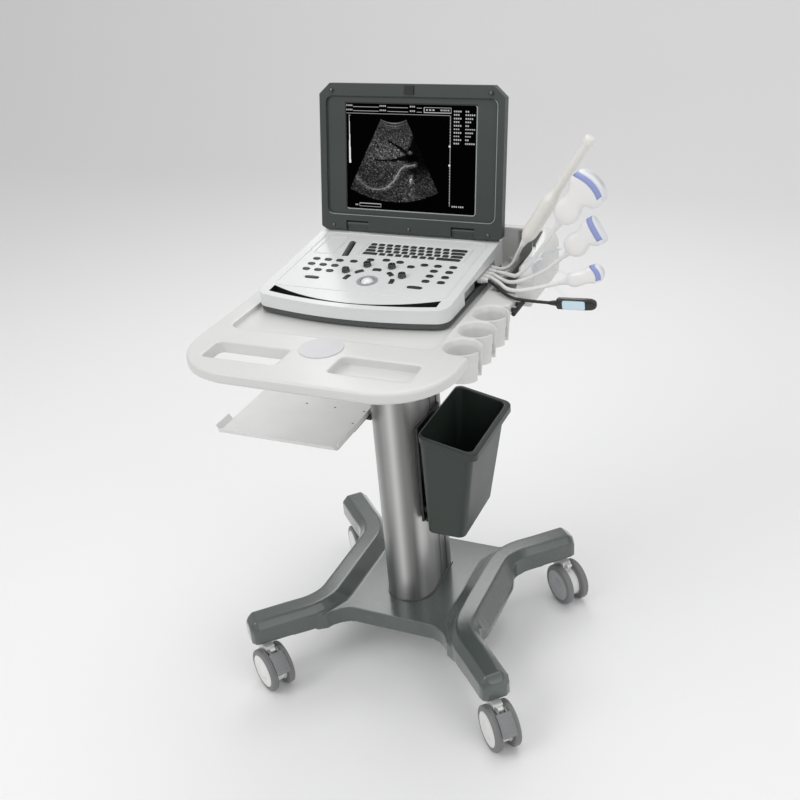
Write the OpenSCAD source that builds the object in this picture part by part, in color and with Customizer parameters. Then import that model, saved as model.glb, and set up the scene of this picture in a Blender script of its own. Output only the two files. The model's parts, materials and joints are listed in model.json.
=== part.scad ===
// Notebook ultrasound scanner on a four-wheel trolley, with five probes on a clear rack.
// +X is the operator's right, -Y is the front, +Z is up; the origin is on the floor under the column.

/* [Trolley base] */
// Half the distance between left and right caster stems
stem_x = 246; // [220:1:270]
// Half the distance between front and rear caster stems
stem_y = 226; // [200:1:250]
// Height of the underside of the legs
leg_z = 100; // [96:1:110]
// Height of the top of the legs
leg_top_z = 157; // [145:1:170]
// Width of a leg
leg_w = 60; // [56:1:76]
// Height of the flat floor between the legs
floor_z = 136; // [130:1:142]

/* [Casters] */
// Diameter of a caster wheel
wheel_d = 90; // [80:1:92]
// Width of one tyre of a twin wheel
tyre_w = 16; // [12:1:18]
// Distance from the stem back to the axle
trail = 30; // [24:1:34]
// Angle of the rear left caster about its stem
caster_turn = 42; // [0:1:90]

/* [Column] */
// Radius of the round front of the column
column_r = 49; // [40:1:60]
// Height of the top of the column
column_top_z = 770; // [700:5:770]

/* [Table] */
// Height of the table's top face
table_z = 800; // [795:1:810]
// Half the width of the table
table_hw = 238; // [230:1:250]
// Front edge of the table, as a distance in front of the column
table_front = 388; // [380:1:400]
// Rear edge of the table
table_rear = 215; // [212:1:225]
// Thickness of the table's edge
table_t = 22; // [20:1:26]
// Outer radius of a probe cup
cup_r = 33; // [31:1:33]

/* [Scanner] */
// Sideways place of the scanner's centre line
scanner_x = -18; // [-25:1:-10]
// Half the width of the scanner
scanner_hw = 182; // [176:1:184]
// Height of the deck at its front reference line
deck_front_z = 829; // [826:1:832]
// Slope of the deck
deck_tilt = 4.45; // [3:0.05:6]

/* [Screen] */
// Width of the screen lid
lid_w = 368; // [350:1:372]
// Height of the screen lid
lid_h = 274.5; // [260:0.5:278]
// Width of the lit screen
lcd_w = 262; // [246:1:264]
// How far the lid leans back as shown
lid_lean = 11; // [0:0.5:20]

/* [Hidden] */
$fn = 48;
eps = 0.01;

// Fits
pin_gap = 0.05;
gap = 0.4;

// Casters
axle_z = wheel_d / 2;
stem_d = 11;
axle_d = 8;
centre_w = 20;
pedal_pin = [-trail - 6, axle_z + 45];
pedal_ear = 6;
socket_d = 26;
socket_z = 95;
socket_depth = 25;
CASTERS = [[-stem_x, -stem_y], [stem_x, -stem_y], [stem_x, stem_y], [-stem_x, stem_y]];
CASTER_TURNS = [caster_turn + 16, caster_turn + 2, caster_turn + 8, caster_turn];

// Base
beam_x = 148;
slab_hw = 135;
slab_front = -122;
slab_rear = 165;
pocket_hw = 105;
tip_past = 19;
tip_round = 14;
web_r = 60;
leg_rise = 7;
// Sections of a leg and of a beam: distance outwards from the centre line, height
LEG_SECTION = [[leg_w / 2, leg_z], [leg_w / 2, leg_top_z - 14], [leg_w / 2 - 13, leg_top_z],
    [13 - leg_w / 2, leg_top_z], [-leg_w / 2, leg_top_z - 14], [-leg_w / 2, leg_z]];
BEAM_SECTION = [[42, leg_z], [42, leg_z + 13], [18, leg_top_z], [-16, leg_top_z],
    [-45, floor_z - 5], [-45, leg_z]];
// Centre line of a leg from its tip to the middle of the beam
HALF_ROUTE = [[stem_x + tip_past, stem_y + tip_past], [stem_x, stem_y], [stem_x - 41, stem_y - 41],
    [stem_x - 76, stem_y - 76], [beam_x + 3, 112], [beam_x, 70], [beam_x, 0]];

// Column
column_y = -18;
column_rear = 80;
column_wall = 4;

// Table features
table_bottom = table_z - table_t;
bay_z = table_z - 10;
front_corner = 112;
grip_w = 138;
grip_l = 58;
grip_x = 115.5;
grip_y = -309;
grips_mid = -6;
cup_x = 214;
cup_y0 = -200;
cup_pitch = 68;
cup_bottom = 746;
cup_bore = 27;
cup_lip = 10;
cup_slot = 17;
trough = [[192, 25], [232, 188]];
ridge_z = table_z + 45;
wall_z = table_z + 60;
wing_x = 262;
ear_r = 34;

// Scanner
case_rear = 150;
case_bow_r = 731.6;
case_corner = 26;
case_front = -158;
lower_z = 794;
split_z = 804;
deck_front_y = -125;
shell = 3;
handle_w = 14;
port_y = [-52, 108];
port_x = 150;
port_top = 826;
socket_xs = 152;
plug_z = 815;
plug_ys = [92, 78, 64, 50, 36];

// Controls, in the deck's own frame: x from the centre line, y from the front reference line
ball_at = [2, 67];
ball_r = 14;
ball_drop = 8;
knob_orbit = 62;
KNOB_ANGLES = [153, 114, 68, 25];
ARC_ANGLES = [170, 133, 91, 47, 8];
key_pitch = 16.2;
key_row_pitch = 12.7;
key_gap = 5.2;
key_left = -55;
key_right = 137;
key_top_y = 212;
// Each row of letter keys: width of the wide left key, number of plain keys
KEY_ROWS = [[0, 10], [15, 9], [19, 9], [28, 7]];
LEFT_BUTTONS = concat([for (c = [0:2], r = [0:2]) [-133 + 24 * c, 136 - 21.5 * r]], [[-57, 137]]);
MIDDLE_BUTTONS = [[-28, 148], [2, 152], [31, 148], [58, 134]];
RIGHT_BUTTONS = concat([[80, 145]], [for (c = [0:1], r = [0:3]) [106 + 29 * c, 145 - 20 * r]]);
BUTTONS = concat(LEFT_BUTTONS, MIDDLE_BUTTONS, RIGHT_BUTTONS);
LONG_BUTTONS = [[-106, 63], [96, 59]];
tgc_at = [-90, 187];
tgc_turn = 10;
tgc_count = 8;
tgc_pitch = 7.6;

// Screen lid, in the lid's own frame: z up along the lid from the hinge axis, y backwards
hinge_y = 140;
hinge_z = 864;
lid_x = 4;
hinge_xs = [-108, 108];
hinge_w = 46;
hinge_r = 6.5;
pin_d = 5;
lid_bottom = -13;
rim_y = -10;
inner_y = -6;
split_y = -2;
lid_back_y = 8;
lcd_h = lcd_w * 0.75;
lcd_z0 = 30;
bumper_h = 3;
low_bumper_h = 1.6;
latch_z = 243;

// Probes: place of the cable end, lean from upright towards +X
endo_at = [231, 60, 875];
endo_lean = 32;
convex_at = [308, 10, 931];
convex_lean = 33;
linear_at = [321, 10, 882];
linear_lean = 44;
micro_at = [322, -10, 843];
micro_lean = 70;
rectal_at = [301, -10, 804];
rectal_lean = 87;

head_tilt = 16;
convex_bend = 60;
linear_bend = 54;

// Cable routes from the plug to the probe
cable_d = 7;
thin_cable_d = 5.5;
route_steps = 3;
plug_end = 176;
ENDO_ROUTE = [[176, 92, 815], [188, 90, 817], [200, 84, 825], [211, 76, 838], [221, 68, 857], [231, 60, 875]];
CONVEX_ROUTE = [[176, 78, 815], [198, 64, 819], [218, 38, 828], [234, 20, 836], [252, 12, 852],
    [276, 10, 884], [308, 10, 931]];
LINEAR_ROUTE = [[176, 64, 815], [196, 54, 811], [218, 28, 819], [240, 11, 829], [264, 10, 840],
    [292, 10, 857], [321, 10, 882]];
MICRO_ROUTE = [[176, 50, 815], [196, 38, 811], [218, 12, 813], [244, -6, 819], [276, -10, 828],
    [322, -10, 843]];
RECTAL_ROUTE = [[176, 36, 815], [194, 25, 810], [214, 6, 807], [238, -8, 805], [268, -10, 804],
    [301, -10, 804]];

// ---------- shared shapes ----------

// Middle of a knob at an angle round the trackball
function knob_at(a) = [ball_at[0] + knob_orbit * cos(a), ball_at[1] + knob_orbit * sin(a)];

function catmull(a, b, c, d, t) =
    0.5 * (2 * b + (c - a) * t + (2 * a - 5 * b + 4 * c - d) * t * t + (3 * b - a - 3 * c + d) * t * t * t);

// Points of a smooth curve through a route, a fixed number of steps for each stretch
function smooth_route(p, n) = let (k = len(p)) concat(
    [for (i = [0:k - 2], s = [0:n - 1])
        catmull(p[max(i - 1, 0)], p[i], p[i + 1], p[min(i + 2, k - 1)], s / n)],
    [p[k - 1]]);

function unit(v) = v / norm(v);

// A ring of points square to a direction
function ring_at(c, dir, r, sides) = let (
    side = unit(cross(dir, [0, 1, 0])),
    up = cross(side, dir))
    [for (k = [0:sides - 1]) c + r * (cos(360 * k / sides) * side + sin(360 * k / sides) * up)];

// Direction of a line of points at each of them
function headings(p) = let (n = len(p)) [for (i = [0:n - 1]) unit(p[min(i + 1, n - 1)] - p[max(i - 1, 0)])];

// A solid with its skin laid over a row of closed rings
module skin(rings) {
    n = len(rings);
    sides = len(rings[0]);
    walls = [for (i = [0:n - 2], k = [0:sides - 1]) let (k2 = (k + 1) % sides)
        [i * sides + k, i * sides + k2, (i + 1) * sides + k2, (i + 1) * sides + k]];
    first = [for (k = [0:sides - 1]) sides - 1 - k];
    last = [for (k = [0:sides - 1]) (n - 1) * sides + k];
    polyhedron(points = [for (r = rings) each r], faces = concat([first], walls, [last]));
}

module cable(route, d) {
    p = smooth_route(route, route_steps);
    dirs = headings(p);
    color("ghostwhite") skin([for (i = [0:len(p) - 1]) ring_at(p[i], dirs[i], d / 2, 10)]);
}

// Rectangle between two corners, with round corners
module round_rect(a, b, r) {
    translate([a[0] + r, a[1]]) square([b[0] - a[0] - 2 * r, b[1] - a[1]]);
    translate([a[0], a[1] + r]) square([b[0] - a[0], b[1] - a[1] - 2 * r]);
    for (x = [a[0] + r, b[0] - r], y = [a[1] + r, b[1] - r]) translate([x, y]) circle(r = r);
}

// A slab between two heights with a plan of round_rect
module round_slab(a, b, r, z0, z1) {
    translate([0, 0, z0]) linear_extrude(z1 - z0) round_rect(a, b, r);
}

// Box between two corners
module block(a, b) {
    translate(a) cube(b - a);
}

// Slot-shaped plan, long along X
module stadium(w, h) {
    square([w - h, h], center = true);
    for (s = [-1, 1]) translate([s * (w - h) / 2, 0]) circle(d = h);
}

// A shape extruded along X from a Y-Z outline
module along_x(x0, x1) {
    translate([x0, 0, 0]) rotate([90, 0, 90]) linear_extrude(x1 - x0) children();
}

// ---------- trolley base ----------

function smooth_step(t) = let (k = max(0, min(1, t))) k * k * (3 - 2 * k);

// Ring of a side's section at a point of its centre line, with chamfered tips and a rising underside
function side_ring(p, dir, tip_gap) = let (
    beam = smooth_step((125 - abs(p[1])) / 55),
    k = min(1, tip_gap / tip_round),
    rise = leg_rise * smooth_step((abs(p[1]) - 60) / (stem_y - 60)),
    wide = 0.62 + 0.38 * sqrt(1 - (1 - k) * (1 - k)))
    [for (i = [0:5]) let (q = LEG_SECTION[i] + beam * (BEAM_SECTION[i] - LEG_SECTION[i]), u = q[0] * wide)
        [p[0] + u * dir[1], p[1] - u * dir[0], q[1] + (i > 0 && i < 5 ? -12 * (1 - k) : rise)]];

// Both legs and the beam of the right side in one sweep
module side_member() {
    there = [for (p = HALF_ROUTE) [p[0], -p[1]]];
    back = [for (i = [len(HALF_ROUTE) - 2:-1:0]) HALF_ROUTE[i]];
    route = concat(there, back);
    p = smooth_route(route, 3);
    dirs = headings(p);
    n = len(p);
    skin([for (i = [0:n - 1]) side_ring(p[i], dirs[i], min(norm(p[i] - p[0]), norm(p[i] - p[n - 1])))]);
}

// Web that rounds the corner between the slab's edge at y and a leg
module corner_web(y) {
    s = sign(y);
    x = abs(y) + stem_x - stem_y - leg_w / sqrt(2);
    run = web_r * tan(22.5);
    translate([0, 0, leg_z]) linear_extrude(floor_z - leg_z) difference() {
        polygon([[x - run, y], [x - run, y - 5 * s], [slab_hw + 10, y - 25 * s], [x + 70, y + 35 * s],
            [x + 50, y + 50 * s]]);
        translate([x - run, y + s * web_r]) circle(r = web_r, $fn = 180);
    }
}

module base_casting() {
    hollow = [[118, leg_z - 1], [183, leg_z - 1], [183, leg_z + 8], [160, leg_top_z - 10],
        [136, leg_top_z - 10], [118, floor_z - 8]];
    color("dimgray") difference() {
        union() {
            for (m = [0, 1]) mirror([m, 0, 0]) {
                side_member();
                for (y = [slab_front, slab_rear]) corner_web(y);
            }
            block([-slab_hw, slab_front, leg_z], [slab_hw, slab_rear, floor_z]);
        }
        for (m = [0, 1]) mirror([m, 0, 0])
            translate([0, 65, 0]) rotate([90, 0, 0]) linear_extrude(130) polygon(hollow);
        block([-pocket_hw, slab_front + 6, leg_z - 1], [pocket_hw, slab_rear - 6, floor_z - 8]);
        for (p = CASTERS) translate([p[0], p[1], leg_z - 1])
            cylinder(d = socket_d + 0.1, h = socket_depth + 1);
    }
}

module ballast_plate() {
    color("gray")
        block([-pocket_hw + 0.1, slab_front + 6.1, floor_z - 18],
            [pocket_hw - 0.1, slab_rear - 6.1, floor_z - 8]);
}

module swivel_sockets() {
    color("slategray") for (p = CASTERS) translate([p[0], p[1], socket_z]) difference() {
        cylinder(d = socket_d, h = leg_z - socket_z + socket_depth);
        translate([0, 0, -1]) cylinder(d = stem_d + 2 * pin_gap, h = 40);
    }
}

// ---------- casters ----------

// Puts a caster's own frame at a corner: stem on the axis, wheels trailing towards -Y before the turn
module at_caster(i) {
    translate(concat(CASTERS[i], [0])) rotate([0, 0, CASTER_TURNS[i]]) children();
}

module caster_fork(i) {
    color("whitesmoke") at_caster(i) {
        difference() {
            union() {
                along_x(-centre_w / 2, centre_w / 2) translate([-trail, axle_z]) circle(r = 31);
                along_x(-centre_w / 2, centre_w / 2)
                    polygon([[-trail - 4, axle_z + 28], [-trail, axle_z], [2, axle_z + 4], [11, 76],
                        [11, 94], [pedal_pin[0] + 8, 94], [pedal_pin[0] + 5.5, axle_z + 30]]);
                along_x(-pedal_ear, pedal_ear) polygon([[-trail, 80], [-trail + 6, 92], pedal_pin + [1, 4],
                    pedal_pin + [-1, -4]]);
                along_x(-pedal_ear, pedal_ear) translate(pedal_pin) circle(r = 4);
            }
            along_x(-20, 20) translate([-trail, axle_z]) circle(d = axle_d + 2 * pin_gap);
            along_x(-20, 20) translate(pedal_pin) circle(d = 4 + 2 * pin_gap);
        }
        translate([0, 0, 90]) cylinder(d = stem_d, h = 33);
    }
}

module caster_wheels(i) {
    profile = [[axle_d / 2 - 1, 0], [wheel_d / 2 - 3, 0], [wheel_d / 2, 4], [wheel_d / 2, tyre_w - 4],
        [wheel_d / 2 - 3, tyre_w], [34, tyre_w], [32, tyre_w + 1.5], [axle_d / 2 - 1, tyre_w + 2.5]];
    color("gray") at_caster(i) translate([0, -trail, axle_z]) {
        for (s = [0, 1]) mirror([s, 0, 0]) translate([centre_w / 2 + 1, 0, 0]) rotate([0, 90, 0])
            rotate_extrude($fn = 72) polygon(profile);
        rotate([0, 90, 0]) cylinder(d = axle_d, h = centre_w + 2 * tyre_w, center = true);
    }
}

module brake_pedal(i) {
    color("darkgray") at_caster(i) {
        along_x(-15, 15) translate([-trail, axle_z]) difference() {
            translate([-1.6, 0]) circle(r = 50.4, $fn = 96);
            circle(r = wheel_d / 2 + 2, $fn = 96);
            rotate(20) square([60, 60]);
            rotate(290) square([60, 60]);
            rotate(200) square([60, 60]);
            rotate(165) square([60, 60]);
        }
        for (s = [0, 1]) mirror([s, 0, 0]) along_x(pedal_ear + 0.4, centre_w / 2 + 0.4) {
            translate(pedal_pin) circle(r = 4);
            polygon([for (p = [[2, 3.6], [-12, 1.4], [-12, -2], [0, -3.9]]) pedal_pin + p]);
        }
        along_x(-centre_w / 2, centre_w / 2) translate(pedal_pin) circle(d = 4);
    }
}

// ---------- column ----------

// Round front, straight sides and a flat rear, grown by g
module column_plan(g = 0) {
    translate([0, column_y]) circle(r = column_r + g, $fn = 96);
    translate([-column_r - g, column_y]) square([2 * (column_r + g), column_rear - column_y + g]);
}

module column() {
    color("silver") translate([0, 0, floor_z]) linear_extrude(column_top_z - floor_z) difference() {
        column_plan();
        column_plan(-column_wall);
        for (s = [-1, 1], y = [26, 56]) translate([s * column_r, y]) square([4, 7], center = true);
        translate([-20, column_rear - 6]) square([40, 10]);
    }
}

module foot_ring() {
    color("gray") translate([0, 0, floor_z]) linear_extrude(3) difference() {
        column_plan(3);
        column_plan(0.05);
    }
}

module cable_cover() {
    color([0.1, 0.1, 0.11])
        block([-19.8, column_rear - 5.5, 150], [19.8, column_rear + 2, column_top_z - 31]);
}

// ---------- table ----------

module table_frame() {
    color("gray") {
        block([-100, -110, column_top_z], [100, 110, table_bottom]);
        translate([0, 0, column_top_z - 30]) linear_extrude(30) difference() {
            column_plan(5);
            column_plan(0.05);
        }
    }
}

module table_plan(g = 0) {
    difference() {
        union() {
            intersection() {
                round_rect([-table_hw + g, -table_front + g], [table_hw - g, table_rear - g], front_corner);
                translate([-300, -500]) square([600, 560]);
            }
            round_rect([-table_hw + g, -100], [table_hw - g, table_rear - g], 45);
        }
        translate([222 - g, cup_y0 - 34]) square([60, 2 * cup_pitch + 68]);
    }
    for (k = [0:2]) translate([cup_x, cup_y0 + k * cup_pitch]) circle(r = cup_r - g);
}

// Raised rim behind the scanner, with a rounded ear where it turns forward along the trough
module table_wing() {
    intersection() {
        union() {
            along_x(trough[1][0], wing_x)
                polygon([[12, table_bottom + 4], [12, table_z], [38, ridge_z], [90, ridge_z], [190, wall_z],
                    [205, wall_z], [205, table_bottom + 4]]);
            translate([0, 205, 0]) rotate([90, 0, 0]) linear_extrude(17)
                polygon([[-205, table_z - 4], [-170, ridge_z], [-120, wall_z], [wing_x, wall_z],
                    [wing_x, table_z - 4]]);
        }
        translate([0, 300, 0]) rotate([90, 0, 0]) linear_extrude(400)
            round_rect([-300, table_bottom - 60], [wing_x, wall_z], ear_r);
        translate([0, 0, table_bottom]) linear_extrude(200) round_rect([-300, -60], [wing_x, 205], 24);
    }
}

// Hand grip through or into the table's front
module grip_pocket(x, z0) {
    translate([x, grip_y, 0])
        round_slab([-grip_w / 2, -grip_l / 2], [grip_w / 2, grip_l / 2], 9, z0, table_z + 1);
}

module table_top() {
    color("gainsboro") difference() {
        union() {
            translate([0, 0, table_bottom]) linear_extrude(5) table_plan(5);
            translate([0, 0, table_bottom + 5]) linear_extrude(table_t - 8) table_plan(0);
            translate([0, 0, table_z - 3]) linear_extrude(3) table_plan(2);
            table_wing();
            for (k = [0:2]) translate([cup_x, cup_y0 + k * cup_pitch, cup_bottom])
                cylinder(r1 = cup_r - 4, r2 = cup_r + 0.6, h = table_z - cup_bottom);
        }
        round_slab([-205, -225], [175, 188], 20, bay_z, table_z + 70);
        grip_pocket(grips_mid - grip_x, table_bottom - 1);
        grip_pocket(grips_mid + grip_x, table_bottom + 5);
        translate([grips_mid + grip_x + 28, grip_y - 12, table_bottom + 3]) cylinder(r = 8, h = 10);
        round_slab(trough[0], trough[1] + [eps, 0], 8, table_bottom + 3, table_z + 70);
        for (k = [0:2]) translate([cup_x, cup_y0 + k * cup_pitch, 0]) {
            translate([0, 0, cup_bottom + 5]) cylinder(r = cup_bore, h = 80);
            translate([0, 0, table_z - cup_lip])
                cylinder(r1 = cup_bore, r2 = cup_bore + 4, h = cup_lip + 0.01);
            block([0, -cup_slot / 2, cup_bottom - 1], [60, cup_slot / 2, table_z + 1]);
        }
    }
}

module badge_disc() {
    color("white") translate([grips_mid, -264, table_z]) cylinder(r = 37, h = 1.5, $fn = 96);
}

module cable_hook() {
    color([0.1, 0.1, 0.11]) {
        for (y = [-24, 0]) block([table_hw, y - 3, table_z - 12], [table_hw + 9, y + 3, table_z - 6]);
        translate([table_hw + 10, -44, table_z - 8]) rotate([-90, 0, 0]) cylinder(d = 8, h = 54);
    }
}

// ---------- bin and tray ----------

bin_rim = [[69, -92], [184, 124]];
bin_foot = [[69, -75], [146, 88]];
bin_z = [325, 550];
bin_slope = 12.5;
bin_band = 15;
bin_wall = 2.5;

// Tapered tub between the foot and the rim, shrunk by g
module tub(g, z0, z1) {
    hull() {
        round_slab(bin_foot[0] + [g, g], bin_foot[1] - [g, g], 14 - g, z0, z0 + 0.1);
        round_slab(bin_rim[0] + [g, g + 5], bin_rim[1] - [g + 5, g + 5], 16 - g, z1 - 0.1, z1);
    }
}

// Everything below the rim's slope, which falls outwards from height z beside the column
module under_slope(z) {
    translate([bin_rim[0][0], -200, z]) rotate([0, bin_slope, 0])
        translate([-30, 0, -400]) cube([250, 400, 400]);
}

module bin() {
    color([0.27, 0.3, 0.3]) difference() {
        intersection() {
            union() {
                tub(0, bin_z[0], bin_z[1]);
                difference() {
                    round_slab(bin_rim[0], bin_rim[1], 16, bin_z[1] - 60, bin_z[1]);
                    under_slope(bin_z[1] - bin_band);
                }
            }
            under_slope(bin_z[1] - 0.5);
        }
        tub(bin_wall, bin_z[0] + bin_wall, bin_z[1] + 0.2);
    }
}

module bin_bracket() {
    color([0.1, 0.1, 0.11]) {
        block([column_r, -50, 330], [column_r + 5, 60, 540]);
        for (z = [350, 508]) block([column_r + 5, -45, z], [bin_rim[0][0] - 0.6, 55, z + 12]);
        block([column_r + 5, -30, 316], [110, 50, 324.4]);
        block([column_r, -30, 316], [column_r + 5, 50, 330]);
    }
}

tray_z = 540;
tray_t = 2;
tray_plan = [[-310, -165], [-56, 100]];
TRAY_HOLES = [[-196, -19], [-133, -19], [-70, -19], [-72, -67]];

module tray() {
    a = tray_plan[0];
    b = tray_plan[1];
    lip = 14;
    color("lightgray") {
        difference() {
            block([a[0], a[1], tray_z], [b[0], b[1], tray_z + tray_t]);
            for (p = TRAY_HOLES) translate([p[0], p[1], tray_z - 1]) cylinder(d = 5, h = 5);
        }
        translate([a[0] + 4, a[1], tray_z]) rotate([35, 0, 0]) cube([b[0] - a[0] - 8, tray_t, lip]);
        translate([b[0] - tray_t, a[1] + 4, tray_z]) rotate([0, 8, 0]) cube([tray_t, 141, lip]);
        translate([a[0], a[1] + 4, tray_z]) rotate([0, -35, 0]) cube([tray_t, 46, lip]);
    }
}

module tray_bracket() {
    color([0.12, 0.12, 0.13]) difference() {
        union() {
            block([-column_r - 3, -18, 500], [-column_r, 52, 538]);
            block([-210, -34, tray_z - 6], [-column_r, -6, tray_z]);
            block([-90, -84, tray_z - 6], [-60, -6, tray_z]);
        }
        for (p = TRAY_HOLES) translate([p[0], p[1], tray_z - 8]) cylinder(d = 4.2, h = 10);
    }
}

// ---------- scanner case ----------

// Puts the deck's own frame in place
module on_deck() {
    translate([scanner_x, deck_front_y, deck_front_z]) rotate([deck_tilt, 0, 0]) children();
}

// Plan of the case with its bowed front, shrunk by g
module case_plan(g = 0) {
    bow_y = case_front + case_bow_r;
    across = scanner_hw - case_corner;
    along = sqrt(pow(case_bow_r - case_corner, 2) - across * across);
    // Where the bowed front runs into the rounded corners
    join_x = across * (case_bow_r - g) / (case_bow_r - case_corner);
    translate([scanner_x, 0]) {
        intersection() {
            translate([-join_x, case_front - 5]) square([2 * join_x, case_rear - case_front + 5 - g]);
            translate([0, bow_y]) circle(r = case_bow_r - g, $fn = 180);
        }
        translate([-scanner_hw + g, bow_y - along])
            square([2 * (scanner_hw - g), case_rear - g - bow_y + along]);
        for (s = [-1, 1]) translate([s * across, bow_y - along]) circle(r = case_corner - g);
    }
}

// Gap between the carrying bar and the deck, wide at both ends
module handle_gap_plan() {
    deck_r = 357.4;
    translate([scanner_x, 0]) difference() {
        intersection() {
            translate([-160, case_front]) square([320, 60]);
            translate([0, case_front + case_bow_r]) circle(r = case_bow_r - handle_w, $fn = 180);
        }
        translate([0, case_front + handle_w + 3 + deck_r]) circle(r = deck_r, $fn = 180);
    }
}

// Everything above the deck's face, lowered by t
module above_deck(t = 0) {
    on_deck() translate([-300, -100, -t]) cube([600, 500, 100]);
}

function row_x(r, i) = key_left + (KEY_ROWS[r][0] > 0 ? KEY_ROWS[r][0] + key_gap : 0) + i * key_pitch;

// All letter keys of one row as [centre, width]
function row_keys(r) = let (wide = KEY_ROWS[r][0], n = KEY_ROWS[r][1], x = row_x(r, n)) concat(
    wide > 0 ? [[key_left + wide / 2, wide]] : [],
    [for (i = [0:n - 1]) [row_x(r, i) + (key_pitch - key_gap) / 2, key_pitch - key_gap]],
    [[(x + key_right) / 2, key_right - x]]);

// Letter keys grown by g, between two heights over the deck
module key_caps(g, z0, z1) {
    for (r = [0:3], k = row_keys(r))
        block([k[0] - k[1] / 2 - g, key_top_y - r * key_row_pitch - 4 - g, z0],
            [k[0] + k[1] / 2 + g, key_top_y - r * key_row_pitch + 4 + g, z1]);
}

module button_caps(g, z0, z1) {
    for (p = BUTTONS) translate([p[0], p[1], z0]) linear_extrude(z1 - z0) stadium(14 + 2 * g, 9 + 2 * g);
    for (p = LONG_BUTTONS) translate([p[0], p[1], z0]) linear_extrude(z1 - z0) stadium(28 + 2 * g, 8 + 2 * g);
}

// Curved buttons round the trackball
module arc_caps(g, z0, z1) {
    for (a = ARC_ANGLES) translate([ball_at[0], ball_at[1], z0]) rotate([0, 0, a]) linear_extrude(z1 - z0)
        intersection() {
            difference() {
                circle(r = 49 + g);
                circle(r = 41 - g);
            }
            translate([30, -8 - g]) square([30, 16 + 2 * g]);
        }
}

module lower_case() {
    color([0.25, 0.27, 0.27]) difference() {
        translate([0, 0, lower_z]) linear_extrude(split_z - lower_z) case_plan(2);
        translate([0, 0, lower_z + 4]) linear_extrude(20) case_plan(6);
    }
}

module upper_case() {
    color("whitesmoke") difference() {
        translate([0, 0, split_z]) linear_extrude(60) case_plan();
        above_deck();
        difference() {
            translate([0, 0, split_z - 1]) linear_extrude(60) case_plan(shell);
            above_deck(shell);
            block([port_x - 3, port_y[0] - 3, split_z - 2], [port_x + 40, port_y[1] + 3, port_top + 3]);
            translate([0, 0, split_z - 2]) linear_extrude(70) intersection() {
                handle_zone_plan();
                case_plan();
            }
        }
        block([port_x, port_y[0], split_z - 1], [port_x + 40, port_y[1], port_top]);
        translate([0, 0, split_z + 3]) linear_extrude(60) handle_gap_plan();
        on_deck() {
            key_caps(gap, -10, 10);
            button_caps(gap, -10, 10);
            arc_caps(gap, -10, 10);
            translate(concat(ball_at, [-10])) cylinder(r = 17.1, h = 20);
            translate(concat(tgc_at, [-10])) rotate([0, 0, tgc_turn])
                linear_extrude(20) square([13, tgc_count * tgc_pitch + 2], center = true);
            for (a = KNOB_ANGLES) translate(concat(knob_at(a), -10)) cylinder(d = 6 + 2 * pin_gap, h = 20);
        }
    }
}

// Solid part of the upper case round the handle gap
module handle_zone_plan() {
    translate([scanner_x - scanner_hw, case_front - 5]) square([2 * scanner_hw, 60]);
}

module rubber_feet() {
    color("black") for (x = [-140, 140], y = [-105, 120])
        translate([scanner_x + x, y, bay_z]) cylinder(d = 18, h = lower_z - bay_z);
}

module main_board() {
    color("seagreen") {
        block([-150, -20, 806], [120, 125, 808]);
        for (x = [-120, -60, 0, 60]) block([x, 20, 808], [x + 30, 50, 812]);
    }
}

module battery_pack() {
    color("steelblue") round_slab([-185, -88], [-75, -28], 4, lower_z + 4, 819);
}

module letter_keys() {
    color([0.2, 0.21, 0.22]) on_deck() key_caps(0, -4, 1.5);
}

module function_buttons() {
    color([0.25, 0.26, 0.27]) on_deck() button_caps(0, -4, 1.6);
}

module arc_buttons() {
    color([0.2, 0.21, 0.22]) on_deck() arc_caps(0, -4, 1.8);
}

module tgc_sliders() {
    color([0.12, 0.12, 0.13]) on_deck() translate(concat(tgc_at, [-4])) rotate([0, 0, tgc_turn])
        for (k = [0:tgc_count - 1]) translate([-4, (k - tgc_count / 2) * tgc_pitch + 0.9, 0])
            cube([8, tgc_pitch - 1.8, 7]);
}

module trackball() {
    color("white") on_deck() translate(concat(ball_at, [-ball_drop])) sphere(r = ball_r, $fn = 64);
}

module trackball_ring() {
    color("darkgray") on_deck() translate(concat(ball_at, [0])) difference() {
        union() {
            translate([0, 0, -22]) cylinder(r = 17, h = 22.5);
            translate([0, 0, 0.05]) cylinder(r = 19, h = 1.2);
        }
        translate([0, 0, -ball_drop]) sphere(r = ball_r + gap, $fn = 64);
        translate([0, 0, -1]) cylinder(r = 13, h = 5);
    }
}

module knob(i) {
    a = KNOB_ANGLES[i];
    color([0.15, 0.16, 0.17]) on_deck() translate(concat(knob_at(a), 0)) {
        translate([0, 0, 0.6]) cylinder(r = 7.5, h = 7.6);
        translate([0, 0, -7]) cylinder(d = 6, h = 10);
    }
}

module probe_sockets() {
    color("silver") difference() {
        union() {
            block([port_x + 0.05, port_y[0] + 1, split_z + 0.5], [socket_xs, port_y[1] - 1, port_top - 0.5]);
            for (y = plug_ys) translate([socket_xs - eps, y, plug_z]) rotate([0, 90, 0])
                cylinder(r = 6.3, h = 5);
            block([socket_xs - eps, -40, 808], [socket_xs + 7, 10, 821]);
        }
        for (y = plug_ys) translate([socket_xs - 1, y, plug_z]) rotate([0, 90, 0]) cylinder(r = 5, h = 10);
    }
}

module probe_plugs() {
    color("lightgray") for (i = [0:4]) translate([socket_xs - 1, plug_ys[i], plug_z]) rotate([0, 90, 0]) {
        cylinder(r = 4.95, h = 7);
        translate([0, 0, 6.1]) cylinder(r = 6.3, h = 8);
        translate([0, 0, 14]) cylinder(r1 = 5.4, r2 = 3.9, h = plug_end - socket_xs + 1 - 14);
    }
}

// ---------- screen lid ----------

// Puts the lid's own frame in place, leaning back
module on_lid() {
    translate([scanner_x + lid_x, hinge_y, hinge_z]) rotate([-lid_lean, 0, 0]) children();
}

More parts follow.
